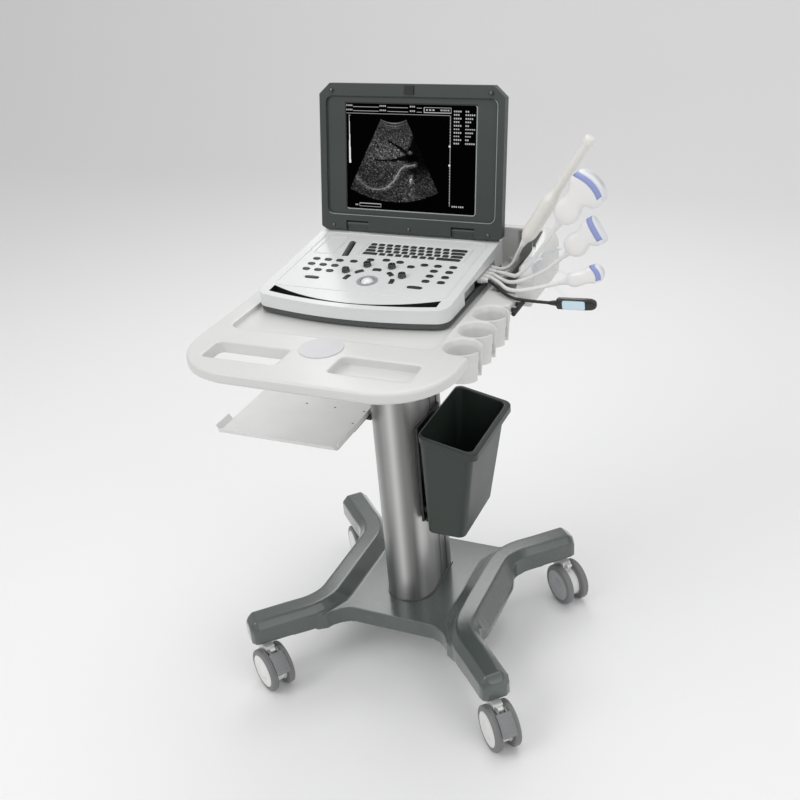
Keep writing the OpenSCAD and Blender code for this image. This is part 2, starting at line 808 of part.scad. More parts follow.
// Outline of the lid with cut top corners, shrunk by g
module lid_outline(g = 0) {
    w = lid_w / 2 - g;
    top = lid_bottom + lid_h - g;
    low = lid_bottom + g;
    polygon([[-w + 8, low], [w - 8, low], [w, low + 8], [w, top - 20], [w - 22, top], [-w + 22, top],
        [-w, top - 20], [-w, low + 8]]);
}

// A lid outline between two depths
module lid_slab(y0, y1) {
    translate([0, y1, 0]) rotate([90, 0, 0]) linear_extrude(y1 - y0) children();
}

// Room for the hinges and the chamfers along the lid's lower edge
module hinge_cuts() {
    for (x = hinge_xs) {
        block([x - hinge_w / 2 - 0.5, rim_y - 1, lid_bottom - 1],
            [x + hinge_w / 2 + 0.5, lid_back_y + 1, hinge_r + 0.9]);
        translate([x - 33, 0, 0]) rotate([0, 90, 0]) cylinder(d = pin_d, h = 66);
    }
    along_x(-lid_w / 2 - 1, lid_w / 2 + 1) {
        polygon([[rim_y - 1, lid_bottom - 1], [rim_y + 5, lid_bottom - 1], [rim_y + 5, lid_bottom],
            [rim_y, lid_bottom + 5],
            [rim_y - 1, lid_bottom + 5]]);
        polygon([[lid_back_y + 1, lid_bottom - 1], [lid_back_y - 4, lid_bottom - 1],
            [lid_back_y - 4, lid_bottom],
            [lid_back_y, lid_bottom + 4], [lid_back_y + 1, lid_bottom + 4]]);
    }
}

module screen_back() {
    color([0.24, 0.27, 0.26]) on_lid() difference() {
        lid_slab(split_y, lid_back_y) lid_outline();
        translate([0, 0, 0]) lid_slab(split_y - 1, lid_back_y - 3) difference() {
            lid_outline(4);
            translate([-200, -20]) square([400, 30]);
        }
        hinge_cuts();
    }
}

module screen_bezel() {
    color([0.22, 0.25, 0.24]) on_lid() difference() {
        lid_slab(rim_y, split_y - 0.05) lid_outline();
        lid_slab(rim_y - 1, inner_y) round_rect([-170, 19], [170, 238], 12);
        lid_slab(rim_y - 1, 5) translate([-lcd_w / 2 - 1, lcd_z0 - 1]) square([lcd_w + 2, lcd_h + 2]);
        lid_slab(rim_y - 1, 0) translate([-3.6, latch_z + 2]) square([12.2, 11]);
        hinge_cuts();
    }
}

module lcd_panel() {
    color([0.05, 0.05, 0.06]) on_lid() block([-lcd_w / 2 - 0.9, inner_y + 1, lcd_z0 - 0.9],
        [lcd_w / 2 + 0.9, lid_back_y - 3.1, lcd_z0 + lcd_h + 0.9]);
}

module screen_bumpers() {
    color("black") on_lid() {
        for (x = [-158, 158]) translate([x, rim_y, 248]) rotate([90, 0, 0]) cylinder(d = 8, h = bumper_h);
        for (x = [-158, 0, 158])
            translate([x, rim_y, -3.5]) rotate([90, 0, 0]) cylinder(d = 8, h = low_bumper_h);
    }
}

module screen_latch() {
    color("black") on_lid() {
        block([-9, rim_y - 3, latch_z], [9, rim_y - 0.4, latch_z + 16]);
        block([-3, rim_y - 1, latch_z + 3], [3, split_y - 1, latch_z + 12]);
    }
}

module hinge_brackets() {
    color([0.22, 0.25, 0.24]) for (x = hinge_xs) translate([scanner_x + lid_x + x, hinge_y, 0]) difference() {
        union() {
            translate([-hinge_w / 2, 0, hinge_z]) rotate([0, 90, 0]) cylinder(r = hinge_r, h = hinge_w);
            block([-hinge_w / 2, -5.5, 850.3], [hinge_w / 2, 5.5, hinge_z]);
        }
        translate([-40, 0, hinge_z]) rotate([0, 90, 0]) cylinder(d = pin_d + 2 * pin_gap, h = 80);
    }
}

module hinge_pins() {
    color("silver") on_lid() for (x = hinge_xs) translate([x - 33, 0, 0]) rotate([0, 90, 0])
        cylinder(d = pin_d, h = 66);
}

// ---------- probes ----------

// Puts a probe's own frame in place: z from the cable end to the nose
module probe_at(p, lean) {
    translate(p) rotate([0, lean, 0]) children();
}

module probe_endocavity() {
    color("ivory") probe_at(endo_at, endo_lean) {
        cylinder(r1 = 4.2, r2 = 8, h = 14);
        translate([0, 0, 14]) cylinder(r1 = 8, r2 = 13.5, h = 14);
        translate([0, 0, 28]) cylinder(r = 13.5, h = 72);
        translate([0, 0, 100]) cylinder(r1 = 13.5, r2 = 8, h = 16);
        translate([0, 0, 116]) cylinder(r = 8, h = 102);
        translate([0, 0, 218]) cylinder(r = 9, h = 12);
    }
}

// A slab with round ends: half width w, half thickness t, between two heights
module probe_section(w, t, z) {
    translate([0, 0, z]) linear_extrude(0.2) hull()
        for (s = [-1, 1]) translate([s * (w - t), 0]) circle(r = t, $fn = 24);
}

// Turns what follows about a point on a probe's axis
module bent(z, angle) {
    translate([0, 0, z]) rotate([0, angle, 0]) translate([0, 0, -z]) children();
}

module probe_convex() {
    color("white") probe_at(convex_at, convex_lean) {
        cylinder(r1 = 4.4, r2 = 6.6, h = 14);
        hull() {
            probe_section(12, 7, 13.5);
            probe_section(21, 12, 26);
            probe_section(21, 12, 42);
            probe_section(18, 12, 54);
        }
        hull() {
            probe_section(17.5, 11.9, 53.6);
            bent(convex_bend, head_tilt) probe_section(34, 13, 88);
            bent(convex_bend, head_tilt) probe_section(36, 13, 96);
        }
    }
}

module probe_linear() {
    color("white") probe_at(linear_at, linear_lean) {
        cylinder(r1 = 4.4, r2 = 6.6, h = 12);
        hull() {
            probe_section(10, 7, 11.5);
            probe_section(20, 12, 25);
            probe_section(19, 12, 40);
            probe_section(15, 11, 50);
        }
        hull() {
            probe_section(14.6, 10.9, 49.6);
            bent(linear_bend, head_tilt) probe_section(24, 11, 62);
            bent(linear_bend, head_tilt) probe_section(24, 11, 76);
        }
    }
}

module probe_microconvex() {
    color("white") probe_at(micro_at, micro_lean) {
        cylinder(r1 = 4.4, r2 = 7, h = 12);
        hull() {
            probe_section(9, 7, 11.8);
            probe_section(14, 10, 24);
            probe_section(12, 10, 44);
        }
        hull() {
            probe_section(12, 10, 44.1);
            probe_section(17, 10, 54);
            probe_section(17, 10, 62);
        }
    }
}

module probe_rectal() {
    color([0.08, 0.08, 0.09]) probe_at(rectal_at, rectal_lean) {
        cylinder(r1 = 3.2, r2 = 5, h = 14);
        translate([-10, -7, 14]) cube([20, 14, 58]);
        translate([0, 7, 72]) rotate([90, 0, 0]) cylinder(r = 10, h = 14);
    }
}

module probe_noses() {
    color("lightsteelblue") {
        probe_at(convex_at, convex_lean) bent(convex_bend, head_tilt) intersection() {
            translate([0, 12, 62]) rotate([90, 0, 0]) cylinder(r = 50, h = 24, $fn = 64);
            block([-35, -13, 96.3], [35, 13, 124]);
        }
        probe_at(linear_at, linear_lean) bent(linear_bend, head_tilt) block([-23, -10, 76.3], [23, 10, 84]);
        probe_at(micro_at, micro_lean) intersection() {
            translate([0, 9, 56]) rotate([90, 0, 0]) cylinder(r = 20, h = 18, $fn = 64);
            block([-16, -10, 62.3], [16, 10, 80]);
        }
        probe_at(rectal_at, rectal_lean) block([-8, -9, 24], [8, -7.05, 64]);
    }
}

// Round rod between two points
module rod(a, b, d) {
    v = b - a;
    translate(a) rotate([0, acos(v[2] / norm(v)), atan2(v[1], v[0])]) cylinder(d = d, h = norm(v));
}

// Clear foot on the wing with a rod to the back of each probe
module probe_rack() {
    color([0.8, 0.9, 0.95, 0.4]) {
        block([242, 40, ridge_z], [260, 84, ridge_z + 11]);
        rod([248, 76, ridge_z + 4], [250, 76, 914], 6);
        rod([250, 64, ridge_z + 5], [332, 25, 962], 6);
        rod([252, 56, ridge_z + 5.5], [351, 25, 913], 6);
        rod([254, 50, ridge_z + 6], [342, 3, 852], 6);
        rod([255, 44, ridge_z + 6.5], [334, 0, 806], 6);
    }
}

base_casting();
ballast_plate();
swivel_sockets();
caster_fork(0);  // caster_fork_fl
caster_fork(1);  // caster_fork_fr
caster_fork(2);  // caster_fork_rr
caster_fork(3);  // caster_fork_rl
caster_wheels(0);  // caster_wheels_fl
caster_wheels(1);  // caster_wheels_fr
caster_wheels(2);  // caster_wheels_rr
caster_wheels(3);  // caster_wheels_rl
brake_pedal(0);  // brake_pedal_fl
brake_pedal(1);  // brake_pedal_fr
column();
foot_ring();
cable_cover();
table_frame();
table_top();
badge_disc();
cable_hook();
bin();
bin_bracket();
tray();
tray_bracket();
lower_case();
upper_case();
rubber_feet();
main_board();
battery_pack();
letter_keys();
function_buttons();
arc_buttons();
tgc_sliders();
trackball();
trackball_ring();
knob(0);  // knob_1
knob(1);  // knob_2
knob(2);  // knob_3
knob(3);  // knob_4
probe_sockets();
probe_plugs();
hinge_brackets();
hinge_pins();
screen_back();
screen_bezel();
lcd_panel();
screen_bumpers();
screen_latch();
probe_rack();
probe_endocavity();
probe_convex();
probe_linear();
probe_microconvex();
probe_rectal();
probe_noses();
cable(ENDO_ROUTE, cable_d);  // cable_endocavity
cable(CONVEX_ROUTE, cable_d);  // cable_convex
cable(LINEAR_ROUTE, cable_d);  // cable_linear
cable(MICRO_ROUTE, cable_d);  // cable_microconvex
cable(RECTAL_ROUTE, thin_cable_d);  // cable_rectal
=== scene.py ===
"""Looks of a notebook ultrasound scanner on its trolley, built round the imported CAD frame."""

import json
import math

import bmesh
import bpy
import numpy as np
from mathutils import Matrix, Vector

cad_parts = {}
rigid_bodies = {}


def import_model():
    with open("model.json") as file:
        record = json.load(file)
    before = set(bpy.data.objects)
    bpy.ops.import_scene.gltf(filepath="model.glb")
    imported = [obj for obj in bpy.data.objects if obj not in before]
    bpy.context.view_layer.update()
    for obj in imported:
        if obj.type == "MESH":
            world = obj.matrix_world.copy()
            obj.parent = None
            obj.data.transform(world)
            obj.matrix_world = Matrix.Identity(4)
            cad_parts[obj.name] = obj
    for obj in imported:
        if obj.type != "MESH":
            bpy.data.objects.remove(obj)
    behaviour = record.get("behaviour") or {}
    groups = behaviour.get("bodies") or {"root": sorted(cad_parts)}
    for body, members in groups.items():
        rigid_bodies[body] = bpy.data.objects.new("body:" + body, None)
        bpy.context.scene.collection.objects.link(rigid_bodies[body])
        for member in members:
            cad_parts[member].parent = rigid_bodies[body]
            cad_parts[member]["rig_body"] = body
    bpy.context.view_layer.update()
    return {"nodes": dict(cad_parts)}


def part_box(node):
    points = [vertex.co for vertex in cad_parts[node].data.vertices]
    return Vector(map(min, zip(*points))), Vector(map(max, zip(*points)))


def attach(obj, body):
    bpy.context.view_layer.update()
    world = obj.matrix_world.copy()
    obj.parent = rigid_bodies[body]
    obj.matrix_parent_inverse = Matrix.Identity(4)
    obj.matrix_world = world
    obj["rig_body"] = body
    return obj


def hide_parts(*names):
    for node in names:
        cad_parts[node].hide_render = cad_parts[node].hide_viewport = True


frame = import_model()
NODES = frame["nodes"]
MM = 0.001

# The deck's and the screen's own frames, and the trackball's place on the deck, as in part.scad
DECK_AT = Vector((-18, -125, 829)) * MM
DECK_SLOPE = math.radians(4.45)
HINGE_AT = Vector((-14, 140, 864)) * MM
LID_LEAN = math.radians(-11)
DECK = Matrix.Translation(DECK_AT) @ Matrix.Rotation(DECK_SLOPE, 4, "X")
LID = Matrix.Translation(HINGE_AT) @ Matrix.Rotation(LID_LEAN, 4, "X")
BALL_AT = (2, 67)
# How far each caster is turned, in degrees
CASTER_TURNS = {"fl": 58, "fr": 44, "rr": 50, "rl": 42}

# ---------------------------------------------------------------- camera


def make_camera():
    """Camera at the photograph's angle, rolled a little."""
    azimuth, pitch, roll = (math.radians(a) for a in (25.8, 28.1, -4.97))
    ahead = Vector((-math.sin(azimuth), math.cos(azimuth), 0))
    back = Vector((0, 0, math.sin(pitch))) - ahead * math.cos(pitch)
    right = Vector((math.cos(azimuth), math.sin(azimuth), 0))
    up = back.cross(right)
    right, up = (right * math.cos(roll) + up * math.sin(roll), up * math.cos(roll) - right * math.sin(roll))
    data = bpy.data.cameras.new("camera")
    data.lens = 48.6
    data.sensor_width = 36
    camera = bpy.data.objects.new("camera", data)
    place = Matrix((right, up, back)).transposed().to_4x4()
    place.translation = Vector((0.794, -1.643, 1.542))
    camera.matrix_world = place
    bpy.context.scene.collection.objects.link(camera)
    bpy.context.scene.camera = camera


make_camera()

# ---------------------------------------------------------------- materials


class Nodes:
    """Short ways to add and link shader nodes in one material."""

    def __init__(self, name):
        self.material = bpy.data.materials.new(name)
        self.material.use_nodes = True
        self.tree = self.material.node_tree
        self.shader = self.tree.nodes["Principled BSDF"]

    def link(self, value, socket):
        """Links an output to an input, or sets the input to a plain value."""
        if isinstance(value, bpy.types.NodeSocket):
            self.tree.links.new(value, socket)
        else:
            socket.default_value = value

    def add(self, kind, inputs=(), output=0, **settings):
        """Adds a node, fills its inputs in order or by name, and returns one output."""
        node = self.tree.nodes.new(kind)
        for key, value in settings.items():
            setattr(node, key, value)
        pairs = inputs.items() if isinstance(inputs, dict) else enumerate(inputs)
        for key, value in pairs:
            if value is not None:
                self.link(value, node.inputs[key])
        return node.outputs[output]

    def place(self):
        """Object coordinates."""
        return self.add("ShaderNodeTexCoord", output="Object")

    def scaled(self, scale):
        """Object coordinates stretched along each axis."""
        return self.add("ShaderNodeMapping", {"Vector": self.place(), "Scale": scale})

    def noise(self, scale, detail=3.0, vector=None, rough=0.5):
        """Noise between 0 and 1."""
        inputs = {"Vector": vector or self.place(), "Scale": scale, "Detail": detail, "Roughness": rough}
        return self.add("ShaderNodeTexNoise", inputs)

    def math(self, operation, a, b=0.0):
        return self.add("ShaderNodeMath", [a, b], operation=operation)

    def ramp(self, value, low, high, to_low=0.0, to_high=1.0):
        """A value moved from one range to another and held inside it."""
        return self.add("ShaderNodeMapRange", [value, low, high, to_low, to_high])

    def mix(self, factor, a, b):
        """Colour between a and b."""
        node = self.tree.nodes.new("ShaderNodeMix")
        node.data_type = "RGBA"
        self.link(factor, node.inputs["Factor"])
        self.link(a, node.inputs[6])
        self.link(b, node.inputs[7])
        return node.outputs[2]


def rgba(colour, gain=1.0):
    return tuple(min(1.0, c * gain) for c in colour[:3]) + (1.0,)


def inside_box(n, low, high, soft):
    """1 inside a box given in mm, falling to 0 over a soft border."""
    axes = n.add("ShaderNodeSeparateXYZ", [n.place()], output=0).node.outputs
    mask = 1.0
    for axis, start, end in zip(axes, low, high):
        rise = n.ramp(axis, (start - soft) * MM, start * MM)
        fall = n.ramp(axis, (end + soft) * MM, end * MM)
        mask = n.math("MULTIPLY", mask, n.math("MULTIPLY", rise, fall))
    return mask


def moulded_look(name, colour, rough=0.4, metal=0.0, grain=1800.0, bump=0.08, vary=0.06, edge=0.8, edge_wear_and_highlight=0.12,
                 coat=0.0, streaks=None, painted_shade_box=None, gloss=0.5, painted_reflection_bands=0.0):
    """Plastic, paint or metal: slow colour change, fine grain, soft edges, and edges lightened in patches,
    partly rubbed and partly painted highlight.

    With painted_shade_box, the colour is darker inside that box: painted shade. With bands, broad lighter and
    darker upright stripes are painted in: painted reflections.
    """
    n = Nodes(name)
    soft = n.add("ShaderNodeBevel", {"Radius": edge * MM}, samples=4)
    slow = n.noise(7.0, 4.0)
    fine = n.noise(grain, 2.0, n.scaled(streaks) if streaks else None)
    tint = n.mix(n.ramp(slow, 0.3, 0.7), rgba(colour, 1 - vary), rgba(colour, 1 + vary))
    facing = n.add("ShaderNodeVectorMath", [soft, n.add("ShaderNodeNewGeometry", output="Normal")],
                   output="Value", operation="DOT_PRODUCT")
    # Edge lightening: partly rubbed edges, partly painted highlight along the edges.
    rim = n.ramp(facing, 0.97, 0.80)
    worn_and_lit_edges = n.math("MULTIPLY", rim, n.ramp(n.noise(90.0), 0.4, 0.7, 0.2, edge_wear_and_highlight))
    skin = n.mix(worn_and_lit_edges, tint, rgba([min(1.0, c + 0.35) for c in colour]))
    # Lighter and darker upright stripes: painted reflections on the round column.
    if painted_reflection_bands:
        broad = n.noise(28.0, 1.0, n.scaled((1.0, 1.0, 0.004)))
        skin = n.mix(n.ramp(broad, 0.35, 0.65), rgba(colour, 1 - painted_reflection_bands), rgba(colour, 1 + painted_reflection_bands))
    # Painted shade: the colour darkens to near black inside the box.
    if painted_shade_box:
        skin = n.mix(n.math("MULTIPLY", inside_box(n, *painted_shade_box, 5), 0.8), skin, (0.06, 0.06, 0.06, 1))
    n.link(skin, n.shader.inputs["Base Color"])
    n.link(n.ramp(n.math("ADD", slow, n.math("MULTIPLY", fine, 0.5)), 0.3, 1.1, rough - 0.06, rough + 0.08),
           n.shader.inputs["Roughness"])
    n.link(n.add("ShaderNodeBump", {"Strength": bump, "Distance": 0.0004, "Height": fine, "Normal": soft}),
           n.shader.inputs["Normal"])
    n.shader.inputs["Metallic"].default_value = metal
    n.shader.inputs["Specular IOR Level"].default_value = gloss
    n.shader.inputs["Coat Weight"].default_value = coat
    n.shader.inputs["Coat Roughness"].default_value = 0.15
    return n.material


LOOKS = {
    "base_paint": moulded_look("base_paint", (0.074, 0.090, 0.085), 0.27, grain=900, bump=0.04, edge=1.6,
                               edge_wear_and_highlight=0.08, coat=1.0),
    # The table's cable trough is painted darker as shade.
    "table_plastic": moulded_look("table_plastic", (0.70, 0.70, 0.69), 0.32, bump=0.05, vary=0.02, edge=1.5,
                                  coat=0.15, edge_wear_and_highlight=0.05, painted_shade_box=((186, 30, 770), (233, 187, 853))),
    "case_white": moulded_look("case_white", (0.76, 0.77, 0.77), 0.30, bump=0.06, vary=0.02, edge=1.2,
                               edge_wear_and_highlight=0.05, coat=0.2),
    # The lid's strongly lightened edges are painted highlights.
    "lid_green": moulded_look("lid_green", (0.044, 0.054, 0.050), 0.36, bump=0.10, edge=0.9, edge_wear_and_highlight=0.45),
    "case_dark": moulded_look("case_dark", (0.075, 0.083, 0.082), 0.45, bump=0.12),
    # The bin's strongly lightened rim and edges are painted highlights.
    "bin_plastic": moulded_look("bin_plastic", (0.022, 0.032, 0.027), 0.38, grain=1200, bump=0.12, edge=1.2,
                                coat=0.1, edge_wear_and_highlight=0.5),
    "black_plastic": moulded_look("black_plastic", (0.012, 0.012, 0.013), 0.42, bump=0.10),
    # The column's upright stripes are painted reflections.
    "column_metal": moulded_look("column_metal", (0.44, 0.44, 0.435), 0.36, 0.8, 900, 0.10, 0.03, 0.8,
                                 streaks=(1.0, 1.0, 0.01), painted_reflection_bands=0.45),
    "steel": moulded_look("steel", (0.52, 0.53, 0.54), 0.32, 1.0, 700, 0.10, 0.04),
    "tray_sheet": moulded_look("tray_sheet", (0.78, 0.78, 0.775), 0.36, grain=1500, bump=0.06, edge=0.6),
    "badge": moulded_look("badge", (0.66, 0.66, 0.68), 0.5, bump=0.02),
    "caster_white": moulded_look("caster_white", (0.84, 0.84, 0.83), 0.33, edge=1.0, edge_wear_and_highlight=0.08, coat=0.2),
    "tyre": moulded_look("tyre", (0.21, 0.21, 0.215), 0.55, grain=2600, bump=0.25, vary=0.12, edge_wear_and_highlight=0.25),
    "pedal_grey": moulded_look("pedal_grey", (0.25, 0.255, 0.26), 0.45, bump=0.15),
    "key_dark": moulded_look("key_dark", (0.020, 0.022, 0.023), 0.38, bump=0.12, edge=0.4, coat=0.15),
    "knob_dark": moulded_look("knob_dark", (0.014, 0.015, 0.016), 0.18, bump=0.05, edge=0.4, coat=0.8),
    "ring_grey": moulded_look("ring_grey", (0.36, 0.37, 0.38), 0.30, coat=0.3),
    "ball_white": moulded_look("ball_white", (0.80, 0.81, 0.82), 0.12, bump=0.02, coat=0.8),
    "socket_metal": moulded_look("socket_metal", (0.60, 0.61, 0.62), 0.28, 1.0, 900, 0.08),
    "probe_white": moulded_look("probe_white", (0.86, 0.85, 0.845), 0.26, bump=0.04, vary=0.02, coat=0.3,
                                edge_wear_and_highlight=0.03),
    "probe_ivory": moulded_look("probe_ivory", (0.84, 0.82, 0.775), 0.30, bump=0.05, vary=0.03, coat=0.3,
                                edge_wear_and_highlight=0.03),
    "probe_black": moulded_look("probe_black", (0.010, 0.010, 0.011), 0.30, bump=0.10, coat=0.3),
    "probe_lens": moulded_look("probe_lens", (0.80, 0.81, 0.84), 0.30, bump=0.04, vary=0.02, edge_wear_and_highlight=0.03),
    "nose_blue": moulded_look("nose_blue", (0.30, 0.355, 0.66), 0.42, bump=0.06, edge_wear_and_highlight=0.05),
    "window_blue": moulded_look("window_blue", (0.62, 0.78, 0.88), 0.32, bump=0.05),
    "cable_grey": moulded_look("cable_grey", (0.78, 0.775, 0.76), 0.40, grain=2400, bump=0.15, vary=0.05),
    "cable_black": moulded_look("cable_black", (0.010, 0.010, 0.010), 0.36, grain=2400, bump=0.15),
    "rubber": moulded_look("rubber", (0.012, 0.012, 0.012), 0.5, bump=0.2),
    "board": moulded_look("board", (0.02, 0.12, 0.05), 0.4, grain=300, bump=0.2, vary=0.3),
    "lcd_black": moulded_look("lcd_black", (0.002, 0.002, 0.002), 0.30, bump=0.0, edge=0.2, edge_wear_and_highlight=0.0,
                              gloss=0.1),
    # Near black used as painted shade, in the pocket and along the lid's upper edges.
    "painted_shade_black": moulded_look("painted_shade_black", (0.010, 0.011, 0.011), 0.5, bump=0.15),
    # Pale grey used as painted highlight on the lid's edges and the screw slots.
    "painted_highlight_grey": moulded_look("painted_highlight_grey", (0.33, 0.36, 0.35), 0.3, bump=0.05, coat=0.3),
}


def clear_look():
    """Clear acrylic with faint scratches."""
    n = Nodes("clear_acrylic")
    n.shader.inputs["Base Color"].default_value = (0.95, 0.98, 1.0, 1.0)
    n.shader.inputs["Transmission Weight"].default_value = 1.0
    n.shader.inputs["IOR"].default_value = 1.02
    n.shader.inputs["Specular IOR Level"].default_value = 0.2
    n.link(n.ramp(n.noise(60.0), 0.4, 0.7, 0.02, 0.12), n.shader.inputs["Roughness"])
    n.link(n.add("ShaderNodeBump", {"Strength": 0.03, "Distance": 0.0002, "Height": n.noise(500.0)}),
           n.shader.inputs["Normal"])
    return n.material


LOOKS["clear"] = clear_look()


def paint(obj, look):
    """Gives a piece one of the looks, or a given material."""
    material = LOOKS[look] if isinstance(look, str) else look
    obj.data.materials.clear()
    obj.data.materials.append(material)
    return obj


# ---------------------------------------------------------------- building pieces


def piece(name, mesh, body, look, smooth=True, replaces=()):
    """Links a mesh in the row frame as a piece that rides on a body."""
    obj = bpy.data.objects.new(name, mesh)
    bpy.context.scene.collection.objects.link(obj)
    mesh.polygons.foreach_set("use_smooth", [smooth] * len(mesh.polygons))
    paint(obj, look)
    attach(obj, body)
    if replaces:
        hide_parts(*replaces)
    return obj


def mesh_of(name, bm):
    """Turns a bmesh into a mesh with its faces pointing out."""
    bmesh.ops.recalc_face_normals(bm, faces=bm.faces)
    mesh = bpy.data.meshes.new(name)
    bm.to_mesh(mesh)
    bm.free()
    return mesh


def body_of(node):
    return NODES[node]["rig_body"]


def softened(node, look, voxel, rounds, space=Matrix.Identity(4)):
    """A copy of a CAD node remeshed evenly and smoothed, so that its corners are moulded."""
    mesh = NODES[node].data.copy()
    mesh.transform(space.inverted())
    work = bpy.data.objects.new("work", mesh)
    bpy.context.scene.collection.objects.link(work)
    weld = work.modifiers.new("weld", "WELD")
    weld.merge_threshold = 1e-6
    remesh = work.modifiers.new("remesh", "REMESH")
    remesh.mode = "VOXEL"
    remesh.voxel_size = voxel * MM
    smooth = work.modifiers.new("smooth", "SMOOTH")
    smooth.factor = 0.5
    smooth.iterations = rounds
    evaluated = work.evaluated_get(bpy.context.evaluated_depsgraph_get())
    skin = bpy.data.meshes.new_from_object(evaluated)
    bpy.data.objects.remove(work)
    skin.transform(space)
    return piece(node + "_skin", skin, body_of(node), look, replaces=[node])


def loft(rings, close=True):
    """A bmesh skin over rings of points, with closed ends."""
    bm = bmesh.new()
    rows = [[bm.verts.new(p) for p in ring] for ring in rings]
    for low, high in zip(rows, rows[1:]):
        for i in range(len(low)):
            j = (i + 1) % len(low)
            bm.faces.new((low[i], low[j], high[j], high[i]))
    if close:
        bm.faces.new(rows[0])
        bm.faces.new(rows[-1])
    return bm


def oval(w, t, sides=40, power=2.0):
    """Points of a rounded outline: power 2 is an ellipse, and more is squarer."""
    def squared(value):
        return math.copysign(abs(value) ** (2 / power), value)

    turns = [2 * math.pi * i / sides for i in range(sides)]
    return [(w * squared(math.cos(a)), t * squared(math.sin(a))) for a in turns]


def lathe(profile, place, sides=64):
    """A turned piece: profile is (radius, height) pairs in mm, place is its matrix."""
    rings = []
    for radius, height in profile:
        ring = [(radius * x * MM, radius * y * MM, height * MM) for x, y in oval(1, 1, sides)]
        rings.append([place @ Vector(p) for p in ring])
    return loft(rings)


def islands(node, space=Matrix.Identity(4)):
    """The box of each separate solid of a CAD node, in mm in a given frame."""
    bm = bmesh.new()
    bm.from_mesh(NODES[node].data)
    bmesh.ops.remove_doubles(bm, verts=bm.verts, dist=1e-6)
    inverse, seen, boxes = space.inverted(), set(), []
    for start in bm.verts:
        if start.index in seen:
            continue
        stack, points = [start], []
        seen.add(start.index)
        while stack:
            vert = stack.pop()
            points.append(inverse @ vert.co / MM)
            for edge in vert.link_edges:
                other = edge.other_vert(vert)
                if other.index not in seen:
                    seen.add(other.index)
                    stack.append(other)
        boxes.append((Vector(map(min, zip(*points))), Vector(map(max, zip(*points)))))
    bm.free()
    return boxes


def join_bm(parts):
    """One bmesh from several."""
    whole = bmesh.new()
    for bm in parts:
        mesh = bpy.data.meshes.new("part")
        bm.to_mesh(mesh)
        bm.free()
        whole.from_mesh(mesh)
        bpy.data.meshes.remove(mesh)
    return whole


def cap(low, high, space, power, taper, dish=0.0, sides=32):
    """A key or button cap over a box in mm: upright sides, a rounded shoulder and a domed or dished top."""
    centre, half = (low + high) / 2, (high - low) / 2
    top = high[2]
    steps = [(1.0, low[2]), (1.0, top - 0.8), (0.985 * taper, top - 0.35), (0.93 * taper, top - 0.08),
             (0.86 * taper, top), (0.5 * taper, top - 0.6 * dish), (0.1 * taper, top - dish)]
    rings = []
    for share, z in steps:
        inset = (1 - share) * min(half[0], half[1])
        outline = oval(half[0] - inset, half[1] - inset, sides, power)
        rings.append([space @ (Vector((centre[0] + x, centre[1] + y, z)) * MM) for x, y in outline])
    return loft(rings)


# ---------------------------------------------------------------- cables

# Where each probe meets its cord, in mm
PROBE_AT = {
    "endocavity": (231, 60, 875),
    "convex": (308, 10, 931),
    "linear": (321, 10, 882),
    "microconvex": (322, -10, 843),
    "rectal": (301, -10, 804),
}
# Each cord's way from its plug to its probe, in mm
ROUTES = {
    "endocavity": [(176, 92, 815), (188, 90, 817), (200, 84, 825), (211, 76, 838), (221, 68, 857)],
    "convex": [(176, 78, 815), (198, 64, 819), (218, 38, 828), (234, 20, 836), (252, 12, 852),
               (276, 10, 884)],
    "linear": [(176, 64, 815), (196, 54, 811), (218, 28, 819), (240, 11, 829), (264, 10, 840),
               (292, 10, 857)],
    "microconvex": [(176, 50, 815), (196, 38, 811), (218, 12, 813), (244, -6, 819), (276, -10, 828)],
    "rectal": [(176, 36, 815), (194, 25, 810), (214, 6, 807), (238, -8, 805), (268, -10, 804)],
}
CORD_D = 7
THIN_CORD_D = 5.5
STEPS_A_STRETCH = 5


def catmull(a, b, c, d, t):
    """A point between b and c on a smooth curve through all four."""
    bend = 2 * a - 5 * b + 4 * c - d
    twist = 3 * b - a - 3 * c + d
    return 0.5 * (2 * b + (c - a) * t + bend * t ** 2 + twist * t ** 3)


def smooth_route(points, steps):
    """Points of a smooth curve through a route, a fixed number of steps for each stretch."""
    p = [Vector(q) * MM for q in points]
    last = len(p) - 1
    route = []
    for i in range(last):
        ends = (p[max(i - 1, 0)], p[i], p[i + 1], p[min(i + 2, last)])
        route += [catmull(*ends, s / steps) for s in range(steps)]
    return route + [p[last]]


def make_cable(name):
    """A probe's cord as a round curve, black and thinner for the rectal probe."""
    look, diameter = ("cable_black", THIN_CORD_D) if name == "rectal" else ("cable_grey", CORD_D)
    route = smooth_route(ROUTES[name] + [PROBE_AT[name]], STEPS_A_STRETCH)
    curve = bpy.data.curves.new("cord_" + name, "CURVE")
    curve.dimensions = "3D"
    curve.bevel_depth = diameter / 2 * MM
    curve.bevel_resolution = 6
    curve.use_fill_caps = True
    spline = curve.splines.new("POLY")
    spline.points.add(len(route) - 1)
    for point, place in zip(spline.points, route):
        point.co = (*place, 1.0)
    spline.use_smooth = True
    cord = bpy.data.objects.new("cord_" + name, curve)
    bpy.context.scene.collection.objects.link(cord)
    paint(cord, look)
    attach(cord, "root")
    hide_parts("cable_" + name)


for cable in ROUTES:
    make_cable(cable)

# ---------------------------------------------------------------- probes


def probe_frame(name, lean):
    """A probe's own frame: z runs up the probe from its cord, leaning towards +X."""
    return Matrix.Translation(Vector(PROBE_AT[name]) * MM) @ Matrix.Rotation(math.radians(lean), 4, "Y")


def bent_frame(z, angle):
    """A turn about a point z mm up a probe."""
    turn = Matrix.Rotation(math.radians(angle), 4, "Y")
    return Matrix.Translation((0, 0, z * MM)) @ turn @ Matrix.Translation((0, 0, -z * MM))


